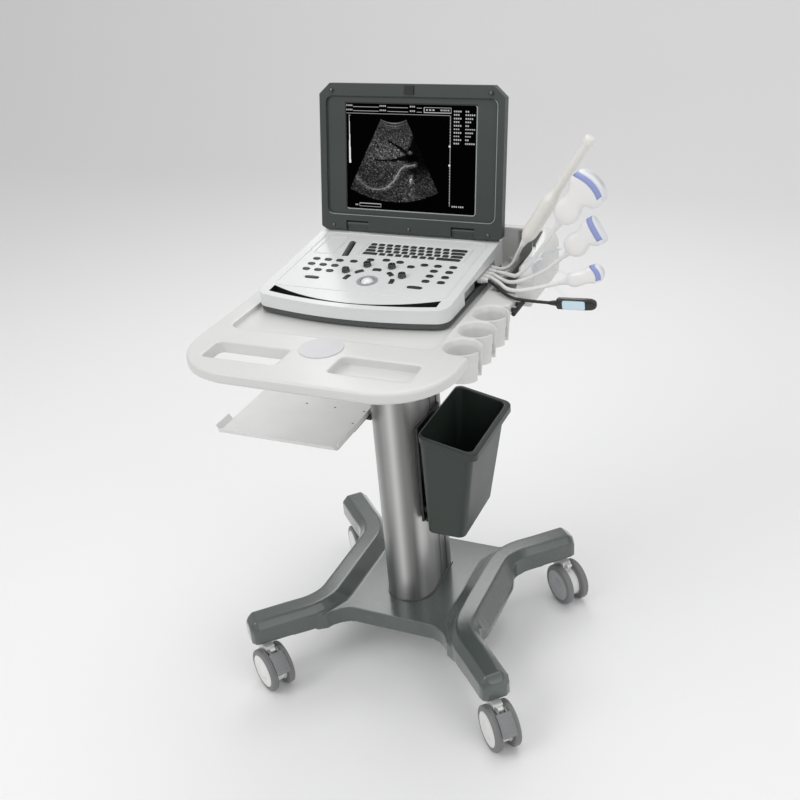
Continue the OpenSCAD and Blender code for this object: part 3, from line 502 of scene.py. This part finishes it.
def probe_part(name, sections, place, bend, look, replaces=(), power=2.6, side_cut=None):
    """A lofted shell. Each section is z, half width, half thickness, face radius and share of the bend.

    With side_cut the shell stops at that share of its half width on the side that hangs lower.
    """
    rings = []
    for z, w, t, radius, share in sections:
        turn = bent_frame(bend[0], bend[1] * share)
        ring = []
        for x, y in oval(w, t, 44, power):
            if side_cut is not None:
                x = min(x, side_cut * w)
            drop = radius * (1 - math.cos(x / radius)) if radius else 0.0
            side = radius * math.sin(x / radius) if radius else x
            ring.append(place @ turn @ (Vector((side, y, z - drop)) * MM))
        rings.append(ring)
    return piece(name, mesh_of(name, loft(rings)), "root", look, replaces=replaces)


def make_curved_probe(name, lean, bend, body, face_radius, face):
    """A probe with a white body, a coloured pad near its face and a pale lens, which follow the face's curve.

    The face gives the heights of the pad's start, the body's end and the lens's end, and the half sizes.
    """
    place = probe_frame(name, lean)
    z0, z1, z2, w, t = face

    def section(z, in_w, in_t):
        return (z, w - in_w, t - in_t, face_radius, 1)

    head = [section(z0, 0, 0), section(z1 - 0.8, 0, 0), section(z1, 1.2, 1.2)]
    probe_part(f"probe_{name}_body", body + head, place, bend, "probe_white",
               ["probe_" + name])
    lens = [section(z1 - 0.4, 0.9, 0.9), section(z1 + 0.5, 0.3, 0.4), section(z2 - 1.6, 1.0, 1.2),
            section(z2 - 0.4, 2.8, 3.0), section(z2, 7.0, 6.0)]
    probe_part(f"probe_{name}_lens", lens, place, bend, "probe_lens")
    pad = [section(z0, 0.7, 0.7), section(z0 + 0.5, -0.25, -0.25), section(z1 - 0.3, -0.25, -0.25),
           section(z1 + 0.2, 0.7, 0.7)]
    probe_part(f"probe_{name}_pad", pad, place, bend, "nose_blue", side_cut=0.62)


def relief(length, start, end):
    """Ribbed strain relief sections, from the cable up to the handle."""
    ribs, groove = 6, 0.5
    rows = []
    for i in range(ribs):
        r = start + (end - start) * i / ribs
        for along, radius in ((0, r), (0.55, r), (0.7, r - groove)):
            rows.append((length * (i + along) / ribs, radius, radius, 0, 0))
    return rows


make_curved_probe("convex", 33, (60, 16), relief(13, 4.2, 6.4) + [
    (15, 10, 8, 0, 0), (19, 16, 10.2, 0, 0), (26, 20.5, 12, 0, 0), (34, 22, 12.6, 0, 0),
    (43, 21.5, 12.6, 0, 0), (50, 19, 12.2, 0, 0), (56, 17.5, 12, 0, 0.1), (62, 18, 12, 150, 0.35),
    (70, 22, 12.2, 90, 0.7), (79, 29.5, 12.8, 60, 0.95), (87, 34.5, 13.3, 52, 1), (93, 36.2, 13.4, 50, 1)],
    50, (96.5, 107, 112.2, 36.2, 13.4))
make_curved_probe("linear", 44, (54, 16), relief(11, 4.2, 6.2) + [
    (13, 10, 8, 0, 0), (17, 15.5, 10.5, 0, 0), (24, 20, 12, 0, 0), (31, 21, 12.4, 0, 0), (39, 19.5, 12, 0, 0),
    (46, 16.4, 11.3, 0, 0.1), (52, 16.5, 11, 0, 0.5), (57, 20, 11.1, 0, 0.9), (62, 23.6, 11.3, 0, 1),
    (67, 24.6, 11.4, 0, 1)],
    0, (69, 79.5, 84, 24.6, 11.4))
make_curved_probe("microconvex", 70, (54, 0), relief(11, 4.2, 6.2) + [
    (13, 8, 7.5, 0, 0), (18, 12, 9.5, 0, 0), (26, 14, 10.2, 0, 0), (36, 13, 10.2, 0, 0), (44, 12.2, 10, 0, 0),
    (52, 14.5, 10, 60, 0), (60, 17, 10.2, 22, 0)],
    20, (63, 72.5, 76, 17, 10.2))


def make_endocavity():
    """Straight probe: ribbed relief, handle, long shaft and a short cut-off tip."""
    handle = ((15, 8), (22, 11.6), (28, 13.2), (36, 13.6), (60, 13.4), (84, 13.7), (98, 13.6), (104, 12.6))
    shaft = ((110, 10.4), (116, 8.6), (122, 8.1), (212, 8))
    tip = ((215, 8.2), (218, 9), (227, 9), (229.4, 8.2), (230, 6.4))
    sections = relief(13, 4.2, 6.6) + [(z, r, r, 0, 0) for z, r in handle + shaft + tip]
    probe_part("probe_endocavity_body", sections, probe_frame("endocavity", 32), (0, 0), "probe_ivory",
               ["probe_endocavity"], power=2.0)


def make_rectal():
    """Black rectal probe with a pale window on its face."""
    place = probe_frame("rectal", 87)
    body = ((14, 8.6, 6), (16, 9.8, 7), (66, 9.9, 7), (74, 9.3, 6.7), (79, 7.2, 5.6), (81.4, 4.4, 3.8),
            (82, 1.6, 1.4))
    sections = relief(13, 3.1, 4.8) + [(z, w, t, 0, 0) for z, w, t in body]
    probe_part("probe_rectal_body", sections, place, (0, 0), "probe_black", ["probe_rectal"],
               power=3.4)
    rings = []
    for depth, inset in ((-6.2, 0), (-8.2, 0), (-8.6, 0.4), (-8.75, 1.2)):
        outline = oval(7.4 - inset, 19.5 - inset, 48, 9.0)
        rings.append([place @ (Vector((x, depth, 44 + y)) * MM) for x, y in outline])
    window = mesh_of("probe_rectal_window", loft(rings))
    piece("probe_rectal_window", window, "root", "window_blue", replaces=["probe_noses"])


make_endocavity()
make_rectal()

# ---------------------------------------------------------------- trolley

softened("base_casting", "base_paint", 2.0, 5)
softened("table_top", "table_plastic", 1.8, 5)
softened("bin", "bin_plastic", 1.1, 4)
for corner in CASTER_TURNS:
    softened("caster_fork_" + corner, "caster_white", 0.8, 4)


def wheel_frame(corner):
    """Matrix of a wheel: its z runs along the axle from the wheel's centre."""
    low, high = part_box("caster_wheels_" + corner)
    turn = math.radians(CASTER_TURNS[corner])
    along = Vector((math.cos(turn), math.sin(turn), 0))
    up = Vector((0, 0, 1))
    place = Matrix((up.cross(along), up, along)).transposed().to_4x4()
    place.translation = (low + high) / 2
    return place


def make_wheels(corner):
    """Twin tyres with a shallow tread, and white hub caps; the rear right cap is grey, painted shade."""
    place, body = wheel_frame(corner), "wheels_" + corner
    tyre = [(33, 11.2), (40, 11.2), (43.2, 12.0), (44.6, 13.4), (45, 15.5), (45, 17.8), (44.7, 18.2),
            (45, 18.6), (45, 21.0), (44.6, 23.6), (43.2, 25.2), (40, 26.2), (36.4, 26.5), (35.6, 26.0),
            (33, 25.6)]
    hub = [(8, 11.1), (33.4, 11.1), (34.2, 12.0), (34.6, 25.6), (33.8, 26.6), (31.5, 27.2), (27.0, 26.4),
           (22.0, 25.9), (15.0, 26.2), (13.6, 27.4), (10.0, 28.2), (5.0, 28.5), (0.6, 28.5)]
    tyres, hubs = [], []
    for side in (1, -1):
        mirror = place @ Matrix.Diagonal((1, 1, side, 1))
        tyres.append(lathe(tyre, mirror, 96))
        hubs.append(lathe(hub, mirror, 96))
    piece("tyres_" + corner, mesh_of("tyres_" + corner, join_bm(tyres)), body, "tyre",
          replaces=["caster_wheels_" + corner])
    # The rear right hub cap is grey: painted shade on a white hub.
    cap_look = "ring_grey" if corner == "rr" else "caster_white"
    piece("hub_caps_" + corner, mesh_of("hub_caps_" + corner, join_bm(hubs)), body, cap_look)


for corner in CASTER_TURNS:
    make_wheels(corner)


def make_pedal(corner):
    """Brake pedal: a curved plate with cross ribs and a turned-up toe, on two lugs."""
    place = wheel_frame(corner)
    body = "brake_" + corner
    sections = []
    steps = 60
    for i in range(steps + 1):
        angle = math.radians(111 + 53 * i / steps)
        rib = 0.7 if (i // 3) % 2 and 6 < i < 54 else 0.0
        toe = 2.2 * max(0.0, (i - 50) / 10) ** 2
        half = 14.6 - 1.6 * max(0.0, (i - 54) / 6) ** 2
        inner, outer = 47.3 + toe, 49.9 + rib + toe
        ring = []
        # Local x is forwards and y is up, so the pedal lies behind the wheel's top
        for radius, depth in ((inner, -half), (outer - 0.5, -half), (outer, -half + 0.9), (outer, half - 0.9),
                              (outer - 0.5, half), (inner, half)):
            ring.append(place @ (Vector((radius * math.cos(angle), radius * math.sin(angle), depth)) * MM))
        sections.append(ring)
    plate = loft(sections)
    outline = [(-6, 49), (-9, 49.2), (-18, 46.6), (-18, 42.9), (-9, 41.2), (-4.4, 41.4), (-2.2, 43.5),
               (-2.4, 47)]
    lugs = []
    for side in (1, -1):
        rings = [[place @ (Vector((x, y, side * depth)) * MM) for x, y in outline] for depth in (6.5, 10.3)]
        lugs.append(loft(rings))
    mesh = mesh_of("pedal_" + corner, join_bm([plate] + lugs))
    piece("pedal_" + corner, mesh, body, "pedal_grey", replaces=["brake_pedal_" + corner])


for corner in ("fl", "fr"):
    make_pedal(corner)

# CAD nodes that are shown as they are
for look, nodes in {
    "steel": ("ballast_plate", "table_frame", "hinge_pins"),
    "pedal_grey": ("swivel_sockets",),
    "column_metal": ("column",),
    "base_paint": ("foot_ring",),
    "black_plastic": ("cable_cover", "cable_hook", "bin_bracket", "tray_bracket", "screen_latch"),
    "badge": ("badge_disc",),
    "tray_sheet": ("tray",),
    "case_dark": ("lower_case", "battery_pack"),
    "case_white": ("upper_case",),
    "rubber": ("rubber_feet",),
    "board": ("main_board",),
    "ball_white": ("trackball",),
    "ring_grey": ("trackball_ring",),
    "socket_metal": ("probe_sockets",),
    "cable_grey": ("probe_plugs",),
    "lid_green": ("hinge_brackets", "screen_back", "screen_bezel"),
    "lcd_black": ("lcd_panel",),
    "clear": ("probe_rack",),
}.items():
    for node in nodes:
        paint(NODES[node], look)

# ---------------------------------------------------------------- keys, buttons and knobs


def make_caps(node, name, look, power, taper, dish):
    """Rounded caps over every key of a CAD node."""
    caps = [cap(low, high, DECK, power, taper, dish) for low, high in islands(node, DECK)]
    return piece(name, mesh_of(name, join_bm(caps)), body_of(node), look, replaces=[node])


make_caps("letter_keys", "letter_key_caps", "key_dark", 7.0, 0.94, 0.25)
make_caps("function_buttons", "button_caps", "key_dark", 2.4, 0.98, -0.25)


def turned_cap(low_r, high_r, half, angle, z_top):
    """A curved button round the trackball, with a rounded shoulder."""
    centre = Vector((BALL_AT[0], BALL_AT[1], 0))
    turn = Matrix.Rotation(math.radians(angle), 4, "Z")
    rings = []
    for inset, z in ((0, -4), (0, z_top - 0.8), (0.25, z_top - 0.25), (0.8, z_top)):
        w = (high_r - low_r) / 2 - inset
        middle = (high_r + low_r) / 2
        ring = []
        for x, y in oval(w, half - inset, 40, 7.0):
            bow = math.sqrt(max(0.0, middle ** 2 - y ** 2)) - middle
            ring.append(DECK @ ((turn @ Vector((middle + x + bow, y, z)) + centre) * MM))
        rings.append(ring)
    return loft(rings)


arcs = [turned_cap(41, 49, 8, angle, 1.8) for angle in (170, 133, 91, 47, 8)]
piece("arc_button_caps", mesh_of("arc_button_caps", join_bm(arcs)), "arc_buttons", "key_dark",
      replaces=["arc_buttons"])


def make_sliders():
    """Gain sliders: a ribbed thumb piece each."""
    count, pitch, half_w, half_l = 8, 7.6, 4, 2.9
    turn = Matrix.Translation(Vector((-90, 187, 0)) * MM) @ Matrix.Rotation(math.radians(10), 4, "Z")
    thumbs = []
    for k in range(count):
        middle = (k - count / 2 + 0.5) * pitch
        rings = []
        for z, inset in ((-3.9, 0), (0.4, 0), (1.2, 0.8), (2.0, 1.0), (2.8, 1.6), (3.0, 2.1)):
            outline = oval(half_w - 0.5 * inset, half_l - inset, 20, 6.0)
            rings.append([DECK @ turn @ (Vector((x, middle + y, z)) * MM) for x, y in outline])
        thumbs.append(loft(rings))
    mesh = mesh_of("gain_slider_thumbs", join_bm(thumbs))
    piece("gain_slider_thumbs", mesh, "tgc_sliders", "knob_dark", replaces=["tgc_sliders"])


make_sliders()


def make_knob(number, angle):
    """Knurled knob with a pale pointer line on its top."""
    orbit, sides, flutes = 62, 96, 24
    a = math.radians(angle)
    centre = Vector((BALL_AT[0] + orbit * math.cos(a), BALL_AT[1] + orbit * math.sin(a), 0)) * MM
    place = DECK @ Matrix.Translation(centre)
    body = f"knob_{number}"
    rings = []
    for radius, z, flute in ((3.0, -6.9, 0), (3.0, 0.5, 0), (7.5, 0.7, 0), (7.5, 1.6, 0), (7.2, 2.0, 0.28),
                             (6.9, 6.9, 0.28), (6.5, 7.8, 0.1), (5.6, 8.2, 0), (4.6, 8.0, 0), (1.0, 7.9, 0)):
        ring = []
        for i in range(sides):
            t = 2 * math.pi * i / sides
            r = radius - flute * (1 + math.cos(flutes * t))
            ring.append(place @ (Vector((r * math.cos(t), r * math.sin(t), z)) * MM))
        rings.append(ring)
    piece(f"knob_cap_{number}", mesh_of("knob", loft(rings)), body, "knob_dark", replaces=[body])
    line = [[place @ (Vector((x, 4.2 + y, z)) * MM) for x, y in oval(0.45, 1.6, 12, 5.0)] for z in (7.8, 8.2)]
    piece(f"knob_line_{number}", mesh_of("knob_line", loft(line)), body, "case_white")


for number, angle in enumerate((153, 114, 68, 25), 1):
    make_knob(number, angle)

# ---------------------------------------------------------------- case and lid details


def make_pocket_shade_sheet():
    """Dark sheet in the pocket behind the carrying bar, painted shade: its floor and both walls, just clear
    of the CAD's.
    """
    half_w, steps, clear, floor_z = 159.8, 60, 0.3, 807.3
    # Centres and radii of the arcs along the bar and along the deck's front edge
    bar_y, bar_r = 573.6, 717.4
    deck_y, deck_r = 216.4, 357.6
    outline = []
    for k in range(steps + 1):
        x = half_w * (2 * k / steps - 1)
        front = bar_y - math.sqrt(bar_r ** 2 - x ** 2)
        rear = deck_y - math.sqrt(deck_r ** 2 - x ** 2)
        if rear - front > clear:
            outline.append((DECK_AT.x + x * MM, front * MM, rear * MM))
    front_line = [(x, front) for x, front, rear in outline]
    rear_line = [(x, rear) for x, front, rear in reversed(outline)]
    ring = front_line + rear_line
    bm = bmesh.new()
    low = [bm.verts.new((x, y, floor_z * MM)) for x, y in ring]
    rim_z = [DECK_AT.z + (y - DECK_AT.y) * math.tan(DECK_SLOPE) - clear * MM for x, y in ring]
    high = [bm.verts.new((x, y, z)) for (x, y), z in zip(ring, rim_z)]
    for i in range(len(ring)):
        j = (i + 1) % len(ring)
        bm.faces.new((low[i], low[j], high[j], high[i]))
    bm.faces.new(low)
    mesh = bpy.data.meshes.new("pocket_shade_sheet")
    bm.to_mesh(mesh)
    bm.free()
    piece("pocket_shade_sheet", mesh, "root", "painted_shade_black", smooth=False)


make_pocket_shade_sheet()


def rounded_path(x0, y0, x1, y1, r, steps=8):
    """Points round a rectangle with rounded corners."""
    corners = ((x1 - r, y1 - r, 0), (x0 + r, y1 - r, 90), (x0 + r, y0 + r, 180), (x1 - r, y0 + r, 270))
    points = []
    for cx, cy, start in corners:
        for k in range(steps + 1):
            a = math.radians(start + 90 * k / steps)
            points.append((cx + r * math.cos(a), cy + r * math.sin(a)))
    return points


def bead(points, space, lift, width, height, closed=True):
    """A half-round ridge along a path. lift turns a path point and a height into a point of the space."""
    rings = []
    count = len(points)
    for i, (x, y) in enumerate(points):
        before = points[i - 1] if closed or i else points[i]
        after = points[(i + 1) % count] if closed or i < count - 1 else points[i]
        along = Vector((after[0] - before[0], after[1] - before[1])).normalized()
        side = Vector((-along[1], along[0])) * width / 2
        ring = []
        for k in range(7):
            c, s = math.cos(math.pi * k / 6), math.sin(math.pi * k / 6)
            ring.append(space @ (Vector(lift(x + side[0] * c, y + side[1] * c, height * s)) * MM))
        rings.append(ring)
    if closed:
        rings.append(rings[0])
    return loft(rings, close=not closed)


def on_lid_face(face_y):
    """Lifts a path of (x, z) off a face of the screen that looks to -Y."""
    return lambda x, z, h: (x, face_y - h, z)


def on_deck_face(x, y, h):
    """Lifts a path of (x, y) off the deck."""
    return (x, y, h)


def make_lid_painted_light_lines():
    """Rounded edges of the screen window and of the recess round it, as painted light: a painted shadow line
    along the top and left, a painted highlight along the bottom and right.
    """
    paths = ((rounded_path(-131, 30, 131, 226.6, 5), on_lid_face(-6), 2.4, 0.7),
             (rounded_path(-170.5, 18.5, 170.5, 238.5, 12.5), on_lid_face(-10), 1.4, 0.35))
    # Painted shadow on the upper and left stretches, painted highlight on the lower and right ones.
    for name, look, first, last in (("dark", "painted_shade_black", 4, 22), ("bright", "painted_highlight_grey", 22, 41)):
        beads = []
        for points, lift, width, height in paths:
            stretch = [points[i % len(points)] for i in range(first, last + 1)]
            beads.append(bead(stretch, LID, lift, width, height, closed=False))
        piece(f"lid_painted_light_lines_{name}", mesh_of("lid_painted_light_lines", join_bm(beads)), "lid", look)


def make_deck_lines():
    """Raised borders moulded in the deck: round the controls, the keys and the space left of the sliders."""
    ridges = [bead(rounded_path(-164, 24, 164, 252, 16), DECK, on_deck_face, 3.2, 0.9),
              bead(rounded_path(-64, 162, 146, 224, 8), DECK, on_deck_face, 2.4, 0.8),
              bead(rounded_path(-152, 160, -112, 232, 3), DECK, on_deck_face, 2.2, 0.8)]
    piece("deck_lines", mesh_of("deck_lines", join_bm(ridges)), "root", "case_white")


make_lid_painted_light_lines()
make_deck_lines()


def make_screw_heads():
    """Black screw heads with a cross of painted highlight, over the CAD's bumpers."""
    heads, crosses = [], []
    turn = Matrix.Rotation(math.radians(90), 4, "X")
    for low, high in islands("screen_bumpers", LID):
        centre = (low + high) / 2
        place = LID @ Matrix.Translation(Vector((centre[0], high[1], centre[2])) * MM) @ turn
        tall = high[1] - low[1]
        heads.append(lathe([(4, 0), (4, tall - 0.5), (3.5, tall), (0.5, tall + 0.05)], place, 32))
        for across in (0, 90):
            arm = place @ Matrix.Rotation(math.radians(45 + across), 4, "Z")
            slot = oval(2.4, 0.4, 12, 5.0)
            rings = [[arm @ (Vector((x, y, z)) * MM) for x, y in slot] for z in (tall, tall + 0.12)]
            crosses.append(loft(rings))
    piece("screw_heads", mesh_of("screw_heads", join_bm(heads)), "lid", "knob_dark",
          replaces=["screen_bumpers"])
    # The pale crosses are painted highlight on the screw slots.
    piece("screw_crosses", mesh_of("screw_crosses", join_bm(crosses)), "lid", "painted_highlight_grey")


make_screw_heads()

# ---------------------------------------------------------------- screen picture


# The picture is laid out on a sheet this wide and high, then stretched over the panel
PICTURE_WIDE, PICTURE_HIGH = 248.2, 185.7


def gap_to_path(x, y, path):
    """Distance of each point from a line of (x, y, half width) points, less the half width there."""
    gap = np.full_like(x, 1e3)
    for (x0, y0, w0), (x1, y1, w1) in zip(path, path[1:]):
        length = math.hypot(x1 - x0, y1 - y0)
        t = np.clip(((x - x0) * (x1 - x0) + (y - y0) * (y1 - y0)) / length ** 2, 0, 1)
        away = np.hypot(x - x0 - t * (x1 - x0), y - y0 - t * (y1 - y0))
        gap = np.minimum(gap, away - (w0 + (w1 - w0) * t))
    return gap


VESSELS = (
    [(83, 64, 1.0), (95, 70, 1.6), (107, 77, 2.2), (119, 85, 3.4)],
    [(55, 97, 0.6), (79, 98, 1.4), (99, 96, 2.6), (119, 91, 4.4), (133, 91, 5.2)],
    [(62, 74, 1.4), (63, 74.5, 1.4)],
)
WALL = [(16, 124, 0), (24, 133, 0), (36, 143, 0), (50, 149, 0), (62, 149.5, 0), (79, 145, 0), (93, 133, 0),
        (101, 120, 0), (107, 111, 0), (115, 106, 0), (125, 105, 0), (134, 103, 0)]


def soft_spot(x, y, centre, size):
    return np.exp(-((x - centre[0]) / size[0]) ** 2 - ((y - centre[1]) / size[1]) ** 2)


def sector_picture(x, y):
    """Brightness of a curved-array scan of soft tissue; x and y are mm from the sheet's top left."""
    rng = np.random.default_rng(7)
    dx, dy = x - 92.5, y + 22.0
    radius, angle = np.hypot(dx, dy), np.degrees(np.arctan2(dx, dy))
    inside = (radius > 54.5) & (radius < 192) & (np.abs(angle) < 26.5)
    grain = rng.rayleigh(0.8, (90, 70)) ** 2
    row = np.clip(((radius - 50) * 0.6).astype(int), 0, 89)
    column = np.clip(((angle + 27) * 1.2).astype(int), 0, 69)
    speckle = 0.2 + 0.62 * grain[row, column]
    depth = (radius - 54) / 138
    lit_to = np.interp(radius, (54, 83, 105, 130, 150, 192), (30, 25, 12, 9, 10, 16))
    level = 0.030 + 0.030 * np.exp(-((depth - 0.38) / 0.25) ** 2)
    level = (level + 0.035 * soft_spot(x, y, (88, 84), (28, 13))) * np.clip((lit_to + 4 - angle) / 6, 0.02, 1)
    level = level + 0.035 * soft_spot(x, y, (158, 140), (26, 20))
    level = level + 0.018 * soft_spot(x, y, (120, 150), (20, 26))
    for vessel in VESSELS:
        level = level * np.clip((gap_to_path(x, y, vessel) + 0.5 * (speckle - 0.8)) / 1.4, 0.05, 1)
    picture = level * speckle
    wall = gap_to_path(x, y, WALL) + 0.5 * (speckle - 0.8)
    strength = 0.16 + 0.30 * np.clip((x - 30) / 60, 0, 1)
    picture = picture + strength * np.clip(1 - np.abs(wall) / 1.5, 0, 1) * (0.45 + 0.5 * speckle)
    picture = picture + 0.05 * np.clip(1 - np.abs(wall - 3) / 3, 0, 1) * speckle
    picture = picture + 0.28 * soft_spot(x, y, (126.5, 130), (3.2, 6.5)) * speckle
    picture = picture + 0.25 * soft_spot(x, y, (124, 83), (3.0, 2.0)) * speckle
    fade = np.clip(1 - np.abs(angle) / 27, 0.2, 1)
    for near, bright in ((55.6, 0.30), (60.5, 0.16), (64.0, 0.08)):
        picture = picture + bright * np.clip(1 - np.abs(radius - near) / 1.2, 0, 1) * fade
    return np.where(inside, np.clip(picture, 0, 1), 0)


def screen_marks(x, y):
    """Plain bars, boxes and ticks round the scan, with no lettering."""
    marks = np.zeros_like(x)

    def bar(x0, y0, x1, y1, level=0.55):
        marks[(x >= x0) & (x <= x1) & (y >= y0) & (y <= y1)] = level

    def dashes(x0, y0, count, wide, height=2.4, pitch=0.0, level=0.5):
        step = pitch or wide + 1.2
        for k in range(count):
            bar(x0 + k * step, y0, x0 + k * step + wide, y0 + height, level)

    def box(x0, y0, x1, y1, level=0.55):
        bar(x0, y0, x1, y0 + 0.9, level)
        bar(x0, y1 - 0.9, x1, y1, level)
        bar(x0, y0, x0 + 0.9, y1, level)
        bar(x1 - 0.9, y0, x1, y1, level)

    for y0 in (3.6, 10.6):
        dashes(1, y0, 4, 2.0)
        bar(14, y0 + 2.6, 64, y0 + 3.5, 0.6)
        dashes(66, y0, 4, 2.0)
        bar(81, y0 + 2.6, 120, y0 + 3.5, 0.6)
        dashes(124, y0, 3, 2.2)
        bar(137, y0 + 2.6, 146, y0 + 3.5, 0.6)
    box(150, 5.0, 201, 14.5)
    dashes(154, 8.4, 3, 3.6, pitch=6.0)
    dashes(181, 8.4, 5, 2.2, pitch=3.4)
    bar(1, 17.6, 199, 18.5, 0.5)
    bar(199.0, 18, 199.9, 172, 0.3)
    for k in range(30):
        bar(198.0, 20 + 5 * k, 200.2, 20.9 + 5 * k, 0.5)
    for y0 in (68, 100):
        bar(197.2, y0, 200.4, y0 + 2.8, 0.9)
    for k in range(10):
        y0 = 9.5 + 5.9 * k
        dashes(205.5, y0, 4 - k % 2, 2.6)
        dashes(226.5, y0, 2 + (k * 7) % 4, 2.6)
    wedge = (x > 6.2 - (y - 24) * 0.015) & (x < 6.6 + (y - 24) * 0.028) & (y > 24) & (y < 104)
    marks[wedge] = 0.85
    dashes(5.5, 21.5, 1, 3.0, 1.4)
    box(25, 174.5, 68, 180.5)
    dashes(17, 176.5, 2, 2.0)
    dashes(204, 170.5, 3, 2.4)
    dashes(216, 170.5, 3, 2.4)
    return marks


def screen_grid(columns, rows):
    """Points and faces of a grid just in front of the panel, from its top left."""
    low, high = islands("lcd_panel", LID)[0]
    border, proud = 0.9, 0.12
    points = []
    for z in np.linspace(high[2] - border, low[2] + border, rows):
        for x in np.linspace(low[0] + border, high[0] - border, columns):
            points.append(LID @ (Vector((x, low[1] - proud, z)) * MM))
    faces = []
    for row in range(rows - 1):
        for here in range(row * columns, (row + 1) * columns - 1):
            below = here + columns
            faces.append((here, below, below + 1, here + 1))
    return points, faces


def make_screen_picture():
    """The lit picture as a fine grid, with its brightness kept in a colour attribute."""
    columns, rows = 401, 301
    x, y = np.meshgrid(np.linspace(0, PICTURE_WIDE, columns), np.linspace(0, PICTURE_HIGH, rows))
    level = np.maximum(sector_picture(x, y), screen_marks(x, y))
    points, faces = screen_grid(columns, rows)
    mesh = bpy.data.meshes.new("screen_picture")
    mesh.from_pydata(points, [], faces)
    shade = mesh.color_attributes.new("picture", "FLOAT_COLOR", "POINT")
    value = np.repeat(level.ravel()[:, None], 4, 1)
    value[:, 3] = 1
    shade.data.foreach_set("color", value.astype(np.float32).ravel())
    n = Nodes("screen_light")
    light = n.add("ShaderNodeAttribute", attribute_name="picture")
    cell = n.noise(3000.0, 1.0)
    lit = n.mix(n.ramp(cell, 0.0, 1.0, 0.0, 0.12), light, (0.0, 0.0, 0.0, 1))
    n.link(lit, n.shader.inputs["Emission Color"])
    n.shader.inputs["Emission Strength"].default_value = 1.0
    n.shader.inputs["Base Color"].default_value = (0.001, 0.001, 0.001, 1)
    n.shader.inputs["Specular IOR Level"].default_value = 0.0
    n.link(n.ramp(n.noise(40.0), 0.3, 0.7, 0.10, 0.16), n.shader.inputs["Roughness"])
    piece("screen_picture", mesh, "lid", n.material, smooth=False)


make_screen_picture()

# ---------------------------------------------------------------- stage


def make_stage():
    """Pale floor that curves up behind, and soft studio light."""
    rear_y, curve_r, steps = 3.0, 1.5, 12
    rows = [(-6, 0), (rear_y, 0)]
    for k in range(1, steps + 1):
        a = math.radians(90 * k / steps)
        rows.append((rear_y + curve_r * math.sin(a), curve_r - curve_r * math.cos(a)))
    rows.append((rear_y + curve_r, 6))
    bm = bmesh.new()
    lines = [[bm.verts.new((x, y, z)) for x in (-8, 8)] for y, z in rows]
    for low, high in zip(lines, lines[1:]):
        bm.faces.new((low[0], low[1], high[1], high[0]))
    mesh = bpy.data.meshes.new("floor")
    bm.to_mesh(mesh)
    bm.free()
    floor = bpy.data.objects.new("floor", mesh)
    bpy.context.scene.collection.objects.link(floor)
    mesh.polygons.foreach_set("use_smooth", [True] * len(mesh.polygons))
    n = Nodes("floor_paper")
    n.link(n.mix(n.noise(0.7), (0.93, 0.93, 0.93, 1), (0.95, 0.95, 0.95, 1)), n.shader.inputs["Base Color"])
    n.shader.inputs["Roughness"].default_value = 0.9
    mesh.materials.append(n.material)
    for name, place, aim, size, power in (
        ("key", (-1.8, -2.6, 3.2), (0, 0, 0.6), 2.2, 44),
        ("fill", (2.8, -1.6, 2.2), (0, 0, 0.6), 2.4, 20),
        ("top", (0.3, 0.2, 3.6), (0, 0, 0.6), 2.6, 30),
        ("rim", (-0.8, 1.9, 2.25), (0, -0.1, 0.5), 1.0, 9),
    ):
        data = bpy.data.lights.new(name, "AREA")
        data.size = size
        data.energy = power
        lamp = bpy.data.objects.new(name, data)
        bpy.context.scene.collection.objects.link(lamp)
        lamp.location = place
        lamp.rotation_mode = "QUATERNION"
        lamp.rotation_quaternion = (Vector(aim) - Vector(place)).to_track_quat("-Z", "Y")
    world = bpy.data.worlds.new("world")
    world.use_nodes = True
    world.node_tree.nodes["Background"].inputs["Color"].default_value = (1, 1, 1, 1)
    world.node_tree.nodes["Background"].inputs["Strength"].default_value = 0.50
    bpy.context.scene.world = world
    bpy.context.scene.view_settings.view_transform = "Standard"


make_stage()
